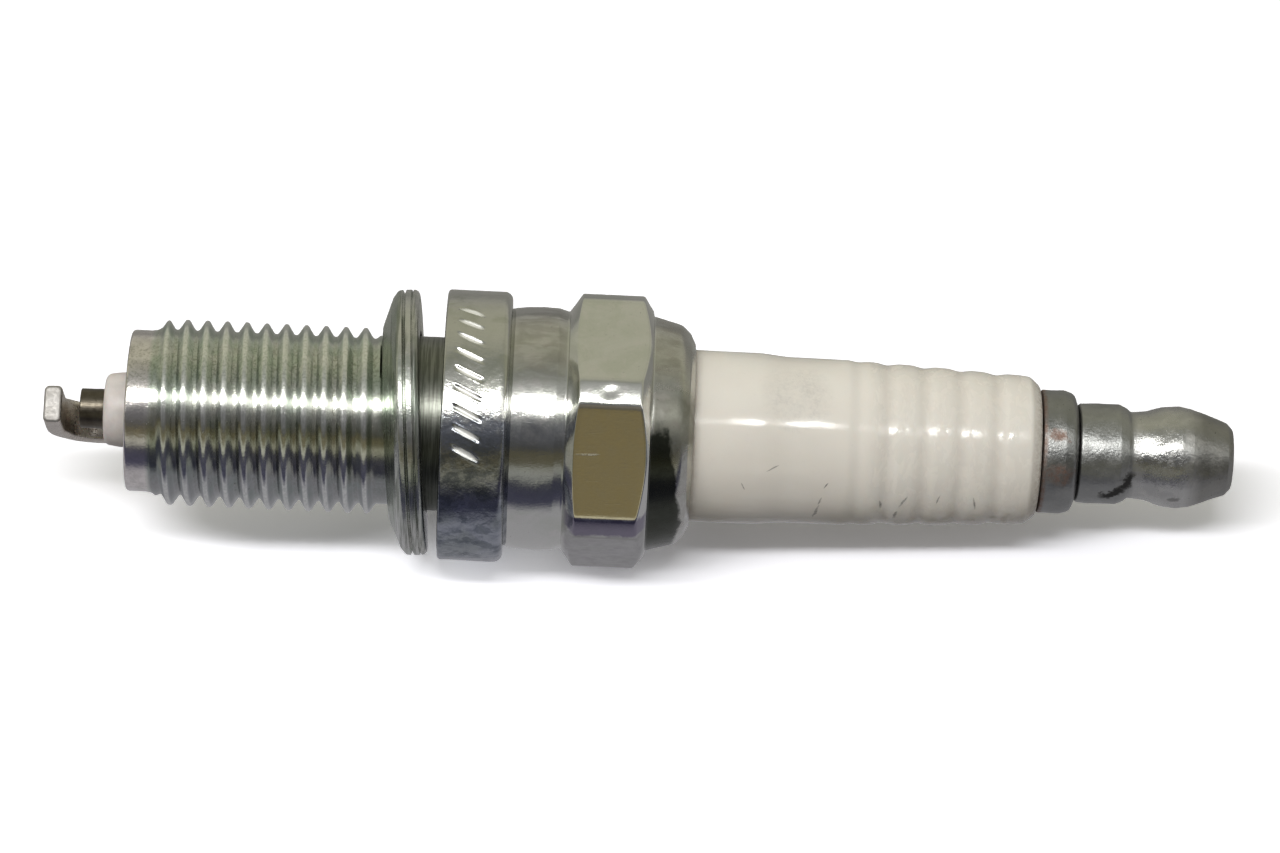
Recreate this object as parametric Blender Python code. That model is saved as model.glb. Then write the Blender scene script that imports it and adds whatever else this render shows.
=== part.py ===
"""Spark plug with an M12 x 1.25 thread, a 16 mm hexagon and a removable terminal nut.

The plug lies along X: firing end towards -X, terminal towards +X, two hexagon flats facing up and
down. Every station is measured in millimetres from the gasket seat face, along the plug's axis.
Everything hangs on one empty, so the world origin sits on the axis at the plug's mid-length.
"""
import math

import bmesh
import bpy
from mathutils import Matrix, Vector

MM = 0.001

# ---------------------------------------------------------------- driving dimensions, mm
GAP = 0.05                 # clearance between seated pieces

# metal shell
SHELL_END = -19.8          # flat end of the shell at the firing end
PILOT_R = 5.1              # unthreaded pilot at the firing end
THREAD_START = -18.15
THREAD_STOP = -3.3
THREAD_PITCH = 1.25
THREAD_MAJOR_R = 5.88
THREAD_MINOR_R = 5.22
THREAD_RUN_OUT = 0.7       # length over which the crests rise at each end
NECK_R = 5.5               # plain neck under the seat, where the gasket hangs
COLLAR_R = 8.55
COLLAR_END = 4.1
COLLAR_FILLET_R = 1.15
GROOVE_R = 7.6             # thinned band between collar and hexagon
HEX_START = 7.8
HEX_STOP = 13.1
HEX_FLATS = 15.9           # across flats (16 mm spanner)
HEX_CORNER_R = 8.75        # corners turned off to this radius
LIP_R = 7.4                # crimped lip round the insulator, a cone at its foot
LIP_END = 15.7
LIP_CLEARANCE = 0.1        # between the lip and the insulator's neck
BORE_R = 6.55              # large bore holding the insulator's flange
CORE_BORE_R = 4.25         # bore through the threaded part
THROAT_R = 3.35            # narrowest part of the bore, below the sealing ledge
NOSE_CAVITY_R = 3.75       # clearance around the insulator nose

# sealing cone between insulator and shell
LEDGE_START = -8.8         # its station on the insulator at LEDGE_START_R
LEDGE_START_R = 3.0
LEDGE_SLOPE = 0.8          # mm of length per mm of radius
LEDGE_SPACING = 0.577      # from the shell's cone to the insulator's, along X
WASHER_CLEARANCE = 0.064   # between the washer and each cone, along X
WASHER_INNER_R = 3.45
WASHER_OUTER_R = 4.15

# insulator
INSULATOR_TIP = -21.35
INSULATOR_END = 37.7
INSULATOR_NECK_R = 5.43
INSULATOR_FLANGE_R = 6.35
INSULATOR_NOSE_R = 1.75    # flat face at the tip
INSULATOR_TOP_R = 4.72
STEP_START = 19.6          # smooth step down from the plain neck
STEP_STOP = 22.0
STEP_DEPTH = 0.2
TAPER_START = 25.4
TAPER_STOP = 36.6
TERMINAL_BORE_R = 2.0      # bore for resistor, glass and stud
ELECTRODE_BORE_R = 1.32
RIB_COUNT = 5
RIB_PITCH = 2.3
RIB_STATIONS = [26.8 + RIB_PITCH * i for i in range(RIB_COUNT)]
RIB_HALF_CREST = 0.35
RIB_DEPTH = 0.16

# centre electrode and the filling above it
ELECTRODE_R = 1.25
ELECTRODE_TIP = -22.9
HEAD_FLANGE_TOP = -5.1     # wide flange on the electrode, carrying a narrower head
HEAD_FLANGE_R = 1.85
HEAD_TOP = -4.4
HEAD_R = 1.55
CORE_R = 0.62              # copper core
CORE_TIP = -20.5
FILL_R = TERMINAL_BORE_R - GAP
# dished ends of the two lower fillings: station, radius, from the axis outwards
GLASS_DISH = [(-1.25, 0.0), (-1.2, 0.9), (-1.0, FILL_R)]
RESISTOR_DISH = [(8.3, 0.0), (8.25, 0.9), (8.0, FILL_R)]

# packing between the insulator's neck and the shell
PACKING_STATIONS = {"lower_packing_ring": 10.12, "upper_packing_ring": 13.95}
PACKING_RING_R = 6.02
PACKING_WIRE_R = 0.47
TALC_START = 10.68
TALC_STOP = 13.4

# ground electrode
STRAP_WIDTH = 2.4
STRAP_THICKNESS = 1.15
STRAP_BACK = -25.2         # outermost face of the bent strap
STRAP_LEG_OFFSET = 4.45    # strap's middle from the axis along its leg
STRAP_BEND_R = 2.4         # bend radius at the strap's middle
STRAP_OVERHANG = 0.95      # how far the strap's end passes the axis
STRAP_DIRECTION = math.radians(213.4)  # about +X, from +Z: the leg stands low, on the +Y side
STRAP_EDGE_R = 0.16
STRAP_BEND_STEPS = 7

# gasket, hanging loose and cocked on the neck
GASKET_STATION = -2.35
GASKET_R = 8.4
GASKET_INNER_R = 5.78
GASKET_COCK = math.radians(4.1)
GASKET_COCK_AXIS = math.radians(44.0)  # from -Y towards +Z

# terminal stud and nut
STUD_R = 1.5
STUD_THREAD_START = 41.2
STUD_THREAD_MINOR_R = 1.58
STUD_THREAD_MAJOR_R = 1.95
STUD_PITCH = 0.7
STUD_RUN_OUT = 0.4
STUD_END = 48.0
STUD_THREAD_STOP = STUD_END - 0.4
STUD_COLLAR_R = 1.85       # part of the shank at the insulator's mouth
STUD_FLANGE_R = 3.9
STUD_FLANGE_TOP = 40.05
GRIP_COUNT = 4             # grooves held by the glass
GRIP_START = 10.0
GRIP_PITCH = 0.7
GRIP_DEPTH = 0.2
NUT_START = 40.15
NUT_END = 50.0
NUT_THREAD_START = 1.1     # from the nut's open end, as is the next
NUT_THREAD_STOP = 8.1
NUT_BARREL_R = 3.15
NUT_THREAD_MINOR_R = 2.08
NUT_THREAD_MAJOR_R = 2.38

# thread flanks over one pitch: fraction of the pitch, height from root (0) to crest (1)
SHELL_FLANKS = ((0.0, 0.0), (0.4375, 1.0), (0.5625, 1.0))
STUD_FLANKS = ((0.0, 0.0), (0.42, 1.0), (0.58, 1.0))

MID_LENGTH = (STRAP_BACK + NUT_END) / 2  # station of the world origin

SHELL_SIDES = 32
INSULATOR_SIDES = 32
PACKING_SIDES = 30
WASHER_SIDES = 24
SMALL_SIDES = 20
STUD_SIDES = 16
WIRE_SIDES = 10            # round the packing rings' wire


# ---------------------------------------------------------------- scene and materials
for old in list(bpy.data.objects):
    bpy.data.objects.remove(old, do_unlink=True)


def add_empty(name, station, parent=None):
    """An empty on the X axis, to carry other pieces."""
    empty = bpy.data.objects.new(name, None)
    empty.parent = parent
    empty.location = (station * MM, 0.0, 0.0)
    bpy.context.collection.objects.link(empty)
    return empty


def material(name, colour, roughness, metallic):
    mat = bpy.data.materials.new(name)
    mat.use_nodes = True
    shader = mat.node_tree.nodes["Principled BSDF"]
    shader.inputs["Base Color"].default_value = (*colour, 1.0)
    shader.inputs["Roughness"].default_value = roughness
    shader.inputs["Metallic"].default_value = metallic
    return mat


def metal(name, colour, roughness):
    return material(name, colour, roughness, metallic=1.0)


def mineral(name, colour, roughness):
    return material(name, colour, roughness, metallic=0.0)


AXIS_FRAME = add_empty("plug_axis", -MID_LENGTH)

ZINC = metal("zinc_plated_steel", colour=(0.62, 0.63, 0.62), roughness=0.22)
NICKEL = metal("nickel_alloy", colour=(0.42, 0.38, 0.33), roughness=0.38)
NICKEL_PLATE = metal("nickel_plated_steel", colour=(0.56, 0.56, 0.55), roughness=0.34)
ALUMINA = mineral("glazed_alumina", colour=(0.86, 0.83, 0.80), roughness=0.14)
COPPER = metal("copper", colour=(0.72, 0.36, 0.22), roughness=0.3)
GLASS = mineral("conductive_glass", colour=(0.16, 0.17, 0.18), roughness=0.3)
CARBON = mineral("resistor_compound", colour=(0.07, 0.07, 0.07), roughness=0.7)
TALC = mineral("talc_powder", colour=(0.78, 0.77, 0.73), roughness=0.9)
WIRE = metal("steel_wire", colour=(0.5, 0.5, 0.5), roughness=0.35)


# ---------------------------------------------------------------- modelling helpers
def finish(name, build, mat, parent=AXIS_FRAME):
    """Weld the seams, face everything outwards, and hang the piece on its parent."""
    bmesh.ops.remove_doubles(build, verts=build.verts, dist=1e-6)
    bmesh.ops.recalc_face_normals(build, faces=build.faces)
    mesh = bpy.data.meshes.new(name)
    build.to_mesh(mesh)
    build.free()
    mesh.materials.append(mat)
    mesh.shade_smooth()
    mesh.set_sharp_from_angle(angle=math.radians(35))
    piece = bpy.data.objects.new(name, mesh)
    bpy.context.collection.objects.link(piece)
    piece.parent = parent
    return piece


def spin_once(build, geom, sides):
    """Turn vertices and edges once round the X axis."""
    bmesh.ops.spin(build, geom=geom, cent=(0, 0, 0), axis=(1, 0, 0), dvec=(0, 0, 0),
                   angle=math.tau, steps=sides, use_duplicate=False)


def spin_profile(build, profile, sides, closed=False):
    """Turn a profile of (station, radius) pairs once round the X axis."""
    verts = [build.verts.new((x * MM, 0.0, radius * MM)) for x, radius in profile]
    pairs = list(zip(verts, verts[1:]))
    if closed:
        pairs.append((verts[-1], verts[0]))
    edges = [build.edges.new(pair) for pair in pairs]
    spin_once(build, verts + edges, sides)


def turned(name, profile, sides, mat, closed=False, parent=AXIS_FRAME):
    build = bmesh.new()
    spin_profile(build, profile, sides, closed)
    return finish(name, build, mat, parent)


def arc(centre_x, centre_r, radius, start, stop, steps):
    """Points of a profile arc, its angles in degrees from +X towards increasing radius."""
    angles = [math.radians(start + (stop - start) * i / steps) for i in range(steps + 1)]
    return [(centre_x + radius * math.cos(angle), centre_r + radius * math.sin(angle))
            for angle in angles]


def shifted(profile, offset):
    """The profile moved along X."""
    return [(x + offset, radius) for x, radius in profile]


def thread_skin(build, start, stop, root_r, crest_r, pitch, run_out, sides, flanks):
    """A right-hand helical thread between two plain rings of radius root_r.

    Rows of the helix that lie beyond an end are clamped onto its ring, where welding folds them
    away. A crest_r below root_r makes an internal thread.
    """
    turns = math.ceil((stop - start) / pitch) + 2
    columns = []
    for j in range(sides + 1):
        theta = math.tau * j / sides
        column = []
        for turn in range(-2, turns):
            for fraction, height in flanks:
                x = start + pitch * (turn + fraction + (j + 0.5) / sides)
                x = min(max(x, start), stop)
                rise = min(1.0, (x - start) / run_out, (stop - x) / run_out)
                radius = root_r + (crest_r - root_r) * height * rise
                y = -radius * math.sin(theta)
                z = radius * math.cos(theta)
                column.append(build.verts.new((x * MM, y * MM, z * MM)))
        columns.append(column)
    for left, right in zip(columns, columns[1:]):
        for i in range(len(left) - 1):
            build.faces.new((left[i], left[i + 1], right[i + 1], right[i]))


def ledge_point(radius, offset=0.0):
    """Profile point on the insulator's sealing cone, moved along X by offset."""
    return LEDGE_START + LEDGE_SLOPE * (radius - LEDGE_START_R) + offset, radius


# ---------------------------------------------------------------- metal shell
def shell_outside():
    """Profile from the thread's +X end to the lip's inner edge."""
    half_flats = HEX_FLATS / 2
    neck_and_seat = [(THREAD_STOP, THREAD_MINOR_R), (THREAD_STOP + 0.25, NECK_R), (0.0, NECK_R),
                     (0.0, COLLAR_R - 0.15), (0.15, COLLAR_R)]
    collar = arc(COLLAR_END - COLLAR_FILLET_R, COLLAR_R - COLLAR_FILLET_R, COLLAR_FILLET_R,
                 start=90, stop=12, steps=4)
    groove = [(COLLAR_END + 0.05, GROOVE_R - 0.12), (4.9, GROOVE_R + 0.05),
              (6.0, GROOVE_R + 0.08), (7.0, GROOVE_R + 0.05), (HEX_START, GROOVE_R - 0.1)]
    hexagon_blank = [(HEX_START, half_flats - 0.35), (HEX_START + 0.52, half_flats + 0.02),
                     (HEX_START + 0.75, HEX_CORNER_R), (HEX_STOP - 0.55, HEX_CORNER_R),
                     (HEX_STOP, half_flats - 0.1)]
    lip = [(HEX_STOP, LIP_R), (14.85, LIP_R - 0.46), (15.2, LIP_R - 0.7), (15.5, LIP_R - 1.05),
           (LIP_END, LIP_R - 1.6), (LIP_END - 0.08, INSULATOR_NECK_R + LIP_CLEARANCE)]
    return neck_and_seat + collar + groove + hexagon_blank + lip


def shell_inside():
    """Profile from under the lip to the mouth at the firing end."""
    return [(14.9, INSULATOR_NECK_R + LIP_CLEARANCE), (14.52, 6.0), (14.5, BORE_R),
            (2.4, BORE_R), (1.6, CORE_BORE_R), ledge_point(CORE_BORE_R, -LEDGE_SPACING),
            ledge_point(THROAT_R, -LEDGE_SPACING), (-9.4, THROAT_R), (-10.1, NOSE_CAVITY_R),
            (SHELL_END, NOSE_CAVITY_R)]


def make_hexagon_cutter():
    """A round collar with a hexagonal hole, reaching past both ends of the hexagon."""
    rim_r = 12.0
    reach_before, reach_after = 0.25, 0.2
    corner_r = HEX_FLATS / 2 / math.cos(math.pi / 6)
    build = bmesh.new()
    rim = bmesh.ops.create_circle(build, segments=24, radius=rim_r * MM)["verts"]
    hole = bmesh.ops.create_circle(build, segments=6, radius=corner_r * MM)["verts"]
    bmesh.ops.rotate(build, verts=rim + hole, cent=(0, 0, 0),
                     matrix=Matrix.Rotation(math.radians(90), 3, "Y"))
    bmesh.ops.translate(build, verts=rim + hole, vec=((HEX_START - reach_before) * MM, 0, 0))
    ring = bmesh.ops.bridge_loops(build, edges=list(build.edges))["faces"]
    wall = bmesh.ops.extrude_face_region(build, geom=ring)["geom"]
    moved = [item for item in wall if isinstance(item, bmesh.types.BMVert)]
    length = HEX_STOP - HEX_START + reach_before + reach_after
    bmesh.ops.translate(build, verts=moved, vec=(length * MM, 0, 0))
    cutter = finish("hexagon_cutter", build, ZINC)
    cutter.hide_render = True
    cutter.display_type = "WIRE"
    return cutter


def make_shell():
    build = bmesh.new()
    thread_skin(build, THREAD_START, THREAD_STOP, root_r=THREAD_MINOR_R, crest_r=THREAD_MAJOR_R,
                pitch=THREAD_PITCH, run_out=THREAD_RUN_OUT, sides=SHELL_SIDES,
                flanks=SHELL_FLANKS)
    pilot = [(SHELL_END, PILOT_R - 0.2), (SHELL_END + 0.2, PILOT_R),
             (THREAD_START - 0.2, PILOT_R), (THREAD_START, THREAD_MINOR_R)]
    spin_profile(build, shell_outside() + shell_inside() + pilot, SHELL_SIDES)
    shell = finish("metal_shell", build, ZINC)

    # trim the turned blank to its six flats
    trim = shell.modifiers.new("hexagon", "BOOLEAN")
    trim.operation = "DIFFERENCE"
    trim.solver = "EXACT"
    trim.object = make_hexagon_cutter()


# ---------------------------------------------------------------- insulator
def ceramic_point(x):
    """Profile point on the exposed ceramic: a step down, then shallow ribs on a taper."""
    if x <= STEP_STOP:
        part = (x - STEP_START) / (STEP_STOP - STEP_START)
        return x, INSULATOR_NECK_R - STEP_DEPTH * part * part * (3 - 2 * part)
    base = INSULATOR_NECK_R - STEP_DEPTH
    if x <= TAPER_START:
        return x, base
    base -= (base - INSULATOR_TOP_R) * (x - TAPER_START) / (TAPER_STOP - TAPER_START)
    wave = 0.5 - 0.5 * math.cos(math.tau * (x - RIB_STATIONS[0]) / RIB_PITCH)
    return x, base - RIB_DEPTH * wave


def make_insulator():
    profile = [(INSULATOR_TIP + 0.2, ELECTRODE_BORE_R), (INSULATOR_TIP, ELECTRODE_BORE_R + 0.15),
               (INSULATOR_TIP, INSULATOR_NOSE_R)]
    profile += arc(INSULATOR_TIP + 0.55, INSULATOR_NOSE_R, 0.55, start=150, stop=90, steps=2)
    # sealing cone, body and flange
    profile += [ledge_point(LEDGE_START_R), ledge_point(4.0), (2.15, 4.0), (2.95, 6.2),
                (3.15, INSULATOR_FLANGE_R), (8.6, INSULATOR_FLANGE_R), (8.8, 6.25),
                (9.9, INSULATOR_NECK_R)]
    exposed = [STEP_START, (STEP_START + STEP_STOP) / 2, STEP_STOP, TAPER_START]
    for crest in RIB_STATIONS[:-1]:
        exposed += [crest - RIB_HALF_CREST, crest + RIB_HALF_CREST, crest + RIB_PITCH / 2]
    exposed.append(RIB_STATIONS[-1] - RIB_HALF_CREST)
    profile += [ceramic_point(x) for x in exposed]
    profile.append((TAPER_STOP, INSULATOR_TOP_R - 0.02))
    profile += arc(INSULATOR_END - 0.75, INSULATOR_TOP_R - 0.8, 0.75, start=75, stop=0, steps=3)
    # back down the bore
    profile += [(INSULATOR_END, TERMINAL_BORE_R + 0.2), (INSULATOR_END - 0.2, TERMINAL_BORE_R),
                (-5.6, TERMINAL_BORE_R), (-6.2, ELECTRODE_BORE_R)]
    turned("insulator", profile, INSULATOR_SIDES, ALUMINA, closed=True)


# ---------------------------------------------------------------- centre electrode and filling
def make_centre_electrode():
    outside = [(ELECTRODE_TIP, 0.0), (ELECTRODE_TIP, ELECTRODE_R - 0.12),
               (ELECTRODE_TIP + 0.12, ELECTRODE_R), (-6.15, ELECTRODE_R),
               (-5.55, HEAD_FLANGE_R), (HEAD_FLANGE_TOP, HEAD_FLANGE_R),
               (HEAD_FLANGE_TOP, HEAD_R), (HEAD_TOP, HEAD_R)]
    pocket = [(HEAD_TOP, CORE_R + GAP), (CORE_TIP + 0.1, CORE_R + GAP), (CORE_TIP - 0.1, 0.0)]
    turned("centre_electrode", outside + pocket, SMALL_SIDES, NICKEL)


def make_copper_core():
    turned("centre_electrode_copper_core",
           [(CORE_TIP, 0.0), (CORE_TIP + 0.2, CORE_R), (HEAD_TOP, CORE_R), (HEAD_TOP, 0.0)],
           SMALL_SIDES, COPPER)


def make_lower_glass_seal():
    over_head = [(HEAD_TOP, 0.0), (HEAD_TOP, HEAD_R + GAP), (HEAD_FLANGE_TOP, HEAD_R + GAP),
                 (HEAD_FLANGE_TOP, FILL_R)]
    turned("lower_glass_seal", shifted(over_head, GAP) + GLASS_DISH[::-1], SMALL_SIDES, GLASS)


def make_resistor():
    turned("resistor", shifted(GLASS_DISH, GAP) + RESISTOR_DISH[::-1], SMALL_SIDES, CARBON)


def make_upper_glass_seal():
    round_stud = [(12.6, FILL_R), (12.5, STUD_R + GAP), (9.7, STUD_R + GAP), (9.6, 0.0)]
    turned("upper_glass_seal", shifted(RESISTOR_DISH, GAP) + round_stud, SMALL_SIDES, GLASS)


# ---------------------------------------------------------------- seals between insulator and shell
def make_seat_washer():
    shell_side = WASHER_CLEARANCE - LEDGE_SPACING
    turned("seat_packing_washer",
           [ledge_point(WASHER_INNER_R, shell_side), ledge_point(WASHER_OUTER_R, shell_side),
            ledge_point(WASHER_OUTER_R, -WASHER_CLEARANCE),
            ledge_point(WASHER_INNER_R, -WASHER_CLEARANCE)],
           WASHER_SIDES, COPPER, closed=True)


def make_packing_ring(name, station):
    build = bmesh.new()
    place = Matrix.Translation(Vector((station * MM, 0, PACKING_RING_R * MM)))
    upright = Matrix.Rotation(math.radians(90), 4, "X")
    verts = bmesh.ops.create_circle(build, segments=WIRE_SIDES, radius=PACKING_WIRE_R * MM,
                                    matrix=place @ upright)["verts"]
    spin_once(build, verts + list(build.edges), PACKING_SIDES)
    finish(name, build, WIRE)


def make_talc_fill():
    inner_r = INSULATOR_NECK_R + GAP
    outer_r = BORE_R - GAP
    turned("talc_fill", [(TALC_START, inner_r), (TALC_STOP, inner_r),
                         (TALC_STOP, outer_r), (TALC_START, outer_r)],
           PACKING_SIDES, TALC, closed=True)


# ---------------------------------------------------------------- terminal stud and nut
def make_stud():
    build = bmesh.new()
    thread_skin(build, STUD_THREAD_START, STUD_THREAD_STOP, root_r=STUD_THREAD_MINOR_R,
                crest_r=STUD_THREAD_MAJOR_R, pitch=STUD_PITCH, run_out=STUD_RUN_OUT,
                sides=STUD_SIDES, flanks=STUD_FLANKS)
    shank = [(9.65, 0.0), (9.75, STUD_R - GRIP_DEPTH)]
    for i in range(GRIP_COUNT):
        grip = GRIP_START + GRIP_PITCH * i
        shank += [(grip, STUD_R), (grip + 0.25, STUD_R), (grip + 0.45, STUD_R - GRIP_DEPTH)]
    flange_foot = INSULATOR_END + GAP
    shank += [(12.8, STUD_R), (36.9, STUD_R), (37.1, STUD_COLLAR_R), (flange_foot, STUD_COLLAR_R)]
    flange = [(flange_foot, STUD_FLANGE_R - 0.1), (37.9, STUD_FLANGE_R), (39.3, STUD_FLANGE_R),
              (39.8, STUD_FLANGE_R - 0.25), (STUD_FLANGE_TOP, STUD_FLANGE_R - 0.75),
              (STUD_FLANGE_TOP, 2.0), (40.9, 1.9), (STUD_THREAD_START, STUD_THREAD_MINOR_R)]
    spin_profile(build, shank + flange, STUD_SIDES)
    tip = [(STUD_THREAD_STOP, STUD_THREAD_MINOR_R), (STUD_END, 1.2), (STUD_END, 0.0)]
    spin_profile(build, tip, STUD_SIDES)
    finish("terminal_stud", build, NICKEL_PLATE)


def make_nut():
    """The nut's origin is on its axis at its open end, where it stands when screwed down."""
    seat = add_empty("terminal_nut_seat", NUT_START, AXIS_FRAME)
    build = bmesh.new()
    thread_skin(build, NUT_THREAD_START, NUT_THREAD_STOP, root_r=NUT_THREAD_MAJOR_R,
                crest_r=NUT_THREAD_MINOR_R, pitch=STUD_PITCH, run_out=STUD_RUN_OUT,
                sides=STUD_SIDES, flanks=STUD_FLANKS)
    bore_end = [(NUT_THREAD_STOP, NUT_THREAD_MAJOR_R), (8.35, 1.8), (8.5, 0.0)]
    spin_profile(build, bore_end, STUD_SIDES)
    length = NUT_END - NUT_START
    mouth_and_barrel = [(NUT_THREAD_START, NUT_THREAD_MAJOR_R), (0.35, NUT_THREAD_MAJOR_R),
                        (0.0, NUT_THREAD_MAJOR_R + 0.2), (0.0, NUT_BARREL_R - 0.2),
                        (0.2, NUT_BARREL_R), (2.75, NUT_BARREL_R)]
    waist_and_head = [(3.4, 2.76), (4.3, 2.76), (5.2, 3.05), (6.2, 3.17), (6.7, 3.17),
                      (7.25, 3.06), (9.4, 2.3), (9.7, 2.1), (length, 1.75), (length, 0.0)]
    spin_profile(build, mouth_and_barrel + waist_and_head, STUD_SIDES)
    finish("terminal_nut", build, NICKEL_PLATE, parent=seat)


# ---------------------------------------------------------------- gasket
def make_gasket():
    """Folded sheet, open to the inside."""
    hang = add_empty("gasket_hang", GASKET_STATION, AXIS_FRAME)
    tilt_axis = Vector((0.0, -math.cos(GASKET_COCK_AXIS), math.sin(GASKET_COCK_AXIS)))
    hang.rotation_euler = Matrix.Rotation(GASKET_COCK, 3, tilt_axis).to_euler()
    flat_leaf = [(1.1, GASKET_INNER_R), (1.1, 8.05)]  # on the +X side
    rim_with_seam = [(0.95, 8.3), (0.7, GASKET_R), (0.32, GASKET_R), (0.22, GASKET_R - 0.1),
                     (0.12, GASKET_R), (-0.2, GASKET_R - 0.03)]
    domed_leaf = [(-0.45, 8.1), (-0.8, 7.2), (-1.15, 6.3), (-1.25, 6.1),
                  (-1.0, 6.05), (-0.75, 6.25), (-0.42, 7.1), (-0.05, 7.85)]
    inside_fold = [(0.25, 8.02), (0.55, 7.9), (0.68, 7.6), (0.68, GASKET_INNER_R + 0.02)]
    turned("gasket", flat_leaf + rim_with_seam + domed_leaf + inside_fold, SHELL_SIDES, ZINC,
           closed=True, parent=hang)


# ---------------------------------------------------------------- ground electrode
def strap_path():
    """Middle line of the strap: station, distance from the axis, angle turned through."""
    mid_back = STRAP_BACK + STRAP_THICKNESS / 2
    bend_x = mid_back + STRAP_BEND_R
    bend_offset = STRAP_LEG_OFFSET - STRAP_BEND_R
    path = [(SHELL_END - 0.04, STRAP_LEG_OFFSET - 0.02, 0.0)]  # just clear of the shell's end
    for i in range(STRAP_BEND_STEPS + 1):
        angle = math.pi / 2 * i / STRAP_BEND_STEPS
        path.append((bend_x - STRAP_BEND_R * math.sin(angle),
                     bend_offset + STRAP_BEND_R * math.cos(angle), angle))
    path.append((mid_back, -STRAP_OVERHANG, math.pi / 2))
    return path


def make_ground_electrode():
    out = Vector((0.0, -math.sin(STRAP_DIRECTION), math.cos(STRAP_DIRECTION)))
    half_side = Vector((1.0, 0.0, 0.0)).cross(out) * (STRAP_WIDTH / 2)
    build = bmesh.new()
    sections = []
    for x, offset, angle in strap_path():
        across = Vector((-math.sin(angle), 0, 0)) + out * math.cos(angle)
        half_across = across * (STRAP_THICKNESS / 2)
        centre = Vector((x, 0, 0)) + out * offset
        corners = (centre + half_across + half_side, centre + half_across - half_side,
                   centre - half_across - half_side, centre - half_across + half_side)
        sections.append([build.verts.new(corner * MM) for corner in corners])
    build.faces.new(sections[0])
    build.faces.new(sections[-1])
    for near, far in zip(sections, sections[1:]):
        for i in range(4):
            following = (i + 1) % 4
            build.faces.new((near[i], near[following], far[following], far[i]))
    strap = finish("ground_electrode", build, NICKEL)
    edge = strap.modifiers.new("rounded_edges", "BEVEL")
    edge.width = STRAP_EDGE_R * MM
    edge.segments = 2
    edge.limit_method = "ANGLE"
    edge.angle_limit = math.radians(40)


make_shell()
make_insulator()
make_centre_electrode()
make_copper_core()
make_lower_glass_seal()
make_resistor()
make_upper_glass_seal()
make_seat_washer()
for ring_name, ring_station in PACKING_STATIONS.items():
    make_packing_ring(ring_name, ring_station)
make_talc_fill()
make_stud()
make_nut()
make_gasket()
make_ground_electrode()
bpy.context.view_layer.update()
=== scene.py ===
"""A spark plug: turned and threaded surfaces, plated metal and glazed ceramic in soft light.

The plug lies along X, its firing end towards -X and its terminal towards +X. The camera looks
from -Y and above. Stations are millimetres along X from the gasket seat face, radii are
millimetres from the axis, and elevations turn about the axis from -Y (0) up towards +Z.
"""
import math
from functools import cached_property

import bmesh
import bpy
import numpy as np
from mathutils import Matrix, Vector, noise


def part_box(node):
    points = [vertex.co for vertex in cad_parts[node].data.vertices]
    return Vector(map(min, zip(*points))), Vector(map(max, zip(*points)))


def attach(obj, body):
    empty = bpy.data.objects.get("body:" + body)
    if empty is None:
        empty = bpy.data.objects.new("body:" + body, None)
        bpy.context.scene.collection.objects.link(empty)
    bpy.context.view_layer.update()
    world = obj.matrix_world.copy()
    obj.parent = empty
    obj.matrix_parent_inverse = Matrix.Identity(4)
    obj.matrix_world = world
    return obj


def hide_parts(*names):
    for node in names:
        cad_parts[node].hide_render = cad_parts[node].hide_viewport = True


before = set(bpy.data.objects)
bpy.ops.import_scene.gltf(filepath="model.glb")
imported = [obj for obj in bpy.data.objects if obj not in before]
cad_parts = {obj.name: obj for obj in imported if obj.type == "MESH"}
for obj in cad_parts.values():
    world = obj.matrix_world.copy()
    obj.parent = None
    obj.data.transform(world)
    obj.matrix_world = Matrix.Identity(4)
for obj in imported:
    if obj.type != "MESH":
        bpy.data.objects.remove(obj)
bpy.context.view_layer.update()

MM = 0.001
SHELL_REACH = 19.8                   # from the seat face to the firing end of the shell
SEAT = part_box("metal_shell")[0][0] / MM + SHELL_REACH

VIEW_ELEVATION = 44.1                # degrees, where the camera stands

THREAD_ROOT, THREAD_CREST = 5.22, 5.88
THREAD_START, THREAD_STOP = -18.1, -3.85
THREAD_PITCH = 1.25
NECK_START = -3.3                    # plain neck between the thread and the seat
SHELL_BORE = 3.75                    # at the firing end

HEX_FLAT, HEX_CORNER = 7.95, 8.75    # axis to flat, axis to turned corner

COLLAR_RADIUS, COLLAR_WIDTH = 8.55, 4.10
NOTCH_STATION = 1.62
NOTCHES = [VIEW_ELEVATION + 56 - 8.5 * k for k in range(9)]    # elevations in degrees

TAPER_START = 25.4                   # the ceramic narrows from here
RIB_START, RIB_PITCH = 26.8, 2.3
CERAMIC_TOP = 36.6                   # where the taper reaches its smallest radius

NUT_START = 40.15


# ------------------------------------------------------------------ mesh building
def fillet(points, steps=5):
    """Round a polyline of (x, r, radius): each point with a radius becomes steps + 1 points."""
    rounded = []
    for i, (x, r, radius) in enumerate(points):
        if radius <= 0 or i in (0, len(points) - 1):
            rounded.append((x, r))
            continue
        corner = np.array((x, r))
        back = np.array(points[i - 1][:2]) - corner
        ahead = np.array(points[i + 1][:2]) - corner
        back_length, ahead_length = np.linalg.norm(back), np.linalg.norm(ahead)
        back, ahead = back / back_length, ahead / ahead_length
        half = math.acos(max(-1.0, min(1.0, float(back @ ahead)))) / 2
        cut = min(radius / math.tan(half), back_length * 0.49, ahead_length * 0.49)
        first, last = corner + back * cut, corner + ahead * cut
        for k in range(steps + 1):
            t = k / steps
            # a rational quadratic curve: a true arc where the cuts aren't clipped
            weights = (1 - t) ** 2, 2 * math.sin(half) * t * (1 - t), t * t
            point = weights[0] * first + weights[1] * corner + weights[2] * last
            point = point / sum(weights)
            rounded.append((float(point[0]), float(point[1])))
    return rounded


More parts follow.
